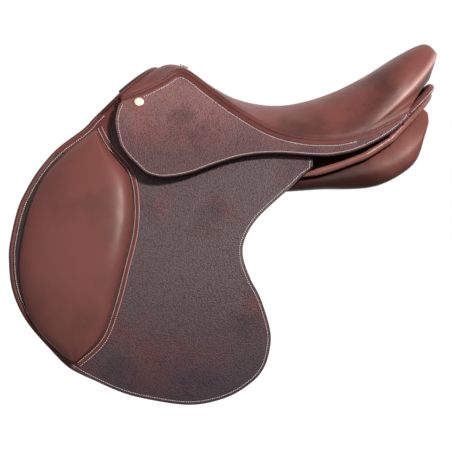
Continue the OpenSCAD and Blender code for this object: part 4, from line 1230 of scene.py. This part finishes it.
seam = [(136, 55, -8), (115, 46.5, -9), (93, 38.5, -9.5), (75, 33, -9.5), (58, 28.5, -9.5), (42, 25, -9.5)]
roll_line = [tuple(p) for p in band_line(1)[-3:]] + [flank(*p) for p in seam]
roll_line = [curve_at(roll_line, i / 40) for i in range(41)]
roll_taper = [min(1, .45 + (40 - i) / 14) for i in range(41)]
panel_roll = roll_piece("panel_roll", roll_line, BAND_RADIUS - .3, roll_taper, smooth=5)
panel_rolls = both(settle(panel_roll, roll_calf), "panel_roll")
rides(panel_rolls, "saddle")
print("band stitches and panel rolls made")

# %% [markdown]
# ## Stage, light and camera
# The picture is on plain white. The key lamp is small, for clear shadows, and stands to the right of the camera and
# above. A large weak one fills from the left, and a large one behind brightens the upper edges without being
# mirrored in the leather. The floor glows only for rays that see the background and is clear from below.

# %% Stage
start_clean()
FLOOR_SIZE, FLOOR_AT, FLOOR_GLOW, WORLD_LIGHT = 14, (0, 2, -.56), .97, .1
bpy.ops.mesh.primitive_plane_add(size=FLOOR_SIZE, location=FLOOR_AT)
floor = bpy.context.object
floor.name = "floor"
bpy.ops.object.transform_apply(location=True)
paper = bpy.data.materials.new("pale_paper")
paper.use_nodes = True
tree = paper.node_tree
shader = tree.nodes["Principled BSDF"]
shader.inputs["Base Color"].default_value = (.13, .13, .13, 1)
shader.inputs["Roughness"].default_value = .9
def background_rays(tree):
    """1 for rays that see the background: from the camera, in metal and through glass."""
    path = add_node(tree, "LightPath")
    total = path.outputs["Is Camera Ray"]
    for label in ("Is Glossy Ray", "Is Transmission Ray"):
        larger = add_node(tree, "Math", operation="MAXIMUM")
        link(tree, total, larger.inputs[0])
        link(tree, path.outputs[label], larger.inputs[1])
        total = larger.outputs["Value"]
    return total


glow, add = add_node(tree, "Emission"), add_node(tree, "AddShader")
dim = add_node(tree, "Math", {1: FLOOR_GLOW}, operation="MULTIPLY")
sides, clear, pick = (add_node(tree, kind) for kind in ("NewGeometry", "BsdfTransparent", "MixShader"))
link(tree, background_rays(tree), dim.inputs[0])
wire(tree, (dim, "Value", glow, "Strength"), (shader, "BSDF", add, 0), (glow, "Emission", add, 1),
     (sides, "Backfacing", pick, "Fac"), (add, "Shader", pick, 1), (clear, "BSDF", pick, 2),
     (pick, "Shader", tree.nodes["Material Output"], "Surface"))
floor.data.materials.append(paper)

world = bpy.data.worlds.new("studio")
bpy.context.scene.world = world
world.use_nodes = True
tree = world.node_tree
backdrop = tree.nodes["Background"]
backdrop.inputs["Color"].default_value = (1, 1, 1, 1)
level = add_node(tree, "MapRange", {"To Min": WORLD_LIGHT, "To Max": 1})
link(tree, background_rays(tree), level.inputs["Value"])
link(tree, level.outputs["Result"], backdrop.inputs["Strength"])


def lamp(name, place, aim, size, watts):
    bpy.ops.object.light_add(type="AREA", location=place)
    light = bpy.context.object
    light.name = name
    light.data.size = size
    light.data.energy = watts
    light.rotation_euler = (Vector(aim) - Vector(place)).to_track_quat("-Z", "Y").to_euler()
    return light


start_clean()
AIM = (-.05, 0, -.03)
lamp("key", (1.2, -1.8, 1.55), AIM, .26, 88)
lamp("fill", (-1.0, -2.9, 1.2), AIM, 2, 11)
lamp("back", (-1.2, 2.6, 1.2), AIM, 2.5, 52).visible_glossy = False

# %% [markdown]
# A long lens from three and a half metres keeps the picture flat. The camera stands slightly above and towards the
# pommel, where the near flap hides the far one, and its field is given as a width at the saddle.

# %% Camera
VIEW_CENTRE = Vector((-.0634, 0, -.051))
DISTANCE, AZIMUTH, ELEVATION, FIELD = 3.5, math.radians(-1.4), math.radians(2), .6667
start_clean()
bpy.ops.object.camera_add(
    location=VIEW_CENTRE + DISTANCE * Vector((math.sin(AZIMUTH) * math.cos(ELEVATION),
                                              -math.cos(AZIMUTH) * math.cos(ELEVATION), math.sin(ELEVATION))),
    rotation=(math.pi / 2 - ELEVATION, 0, AZIMUTH))
camera = bpy.context.object
camera.data.sensor_width = 36
camera.data.lens = 18 / (FIELD / 2 / DISTANCE)
bpy.context.scene.camera = camera
bpy.context.scene.view_settings.view_transform = "Standard"
print("lens", round(camera.data.lens), "mm")
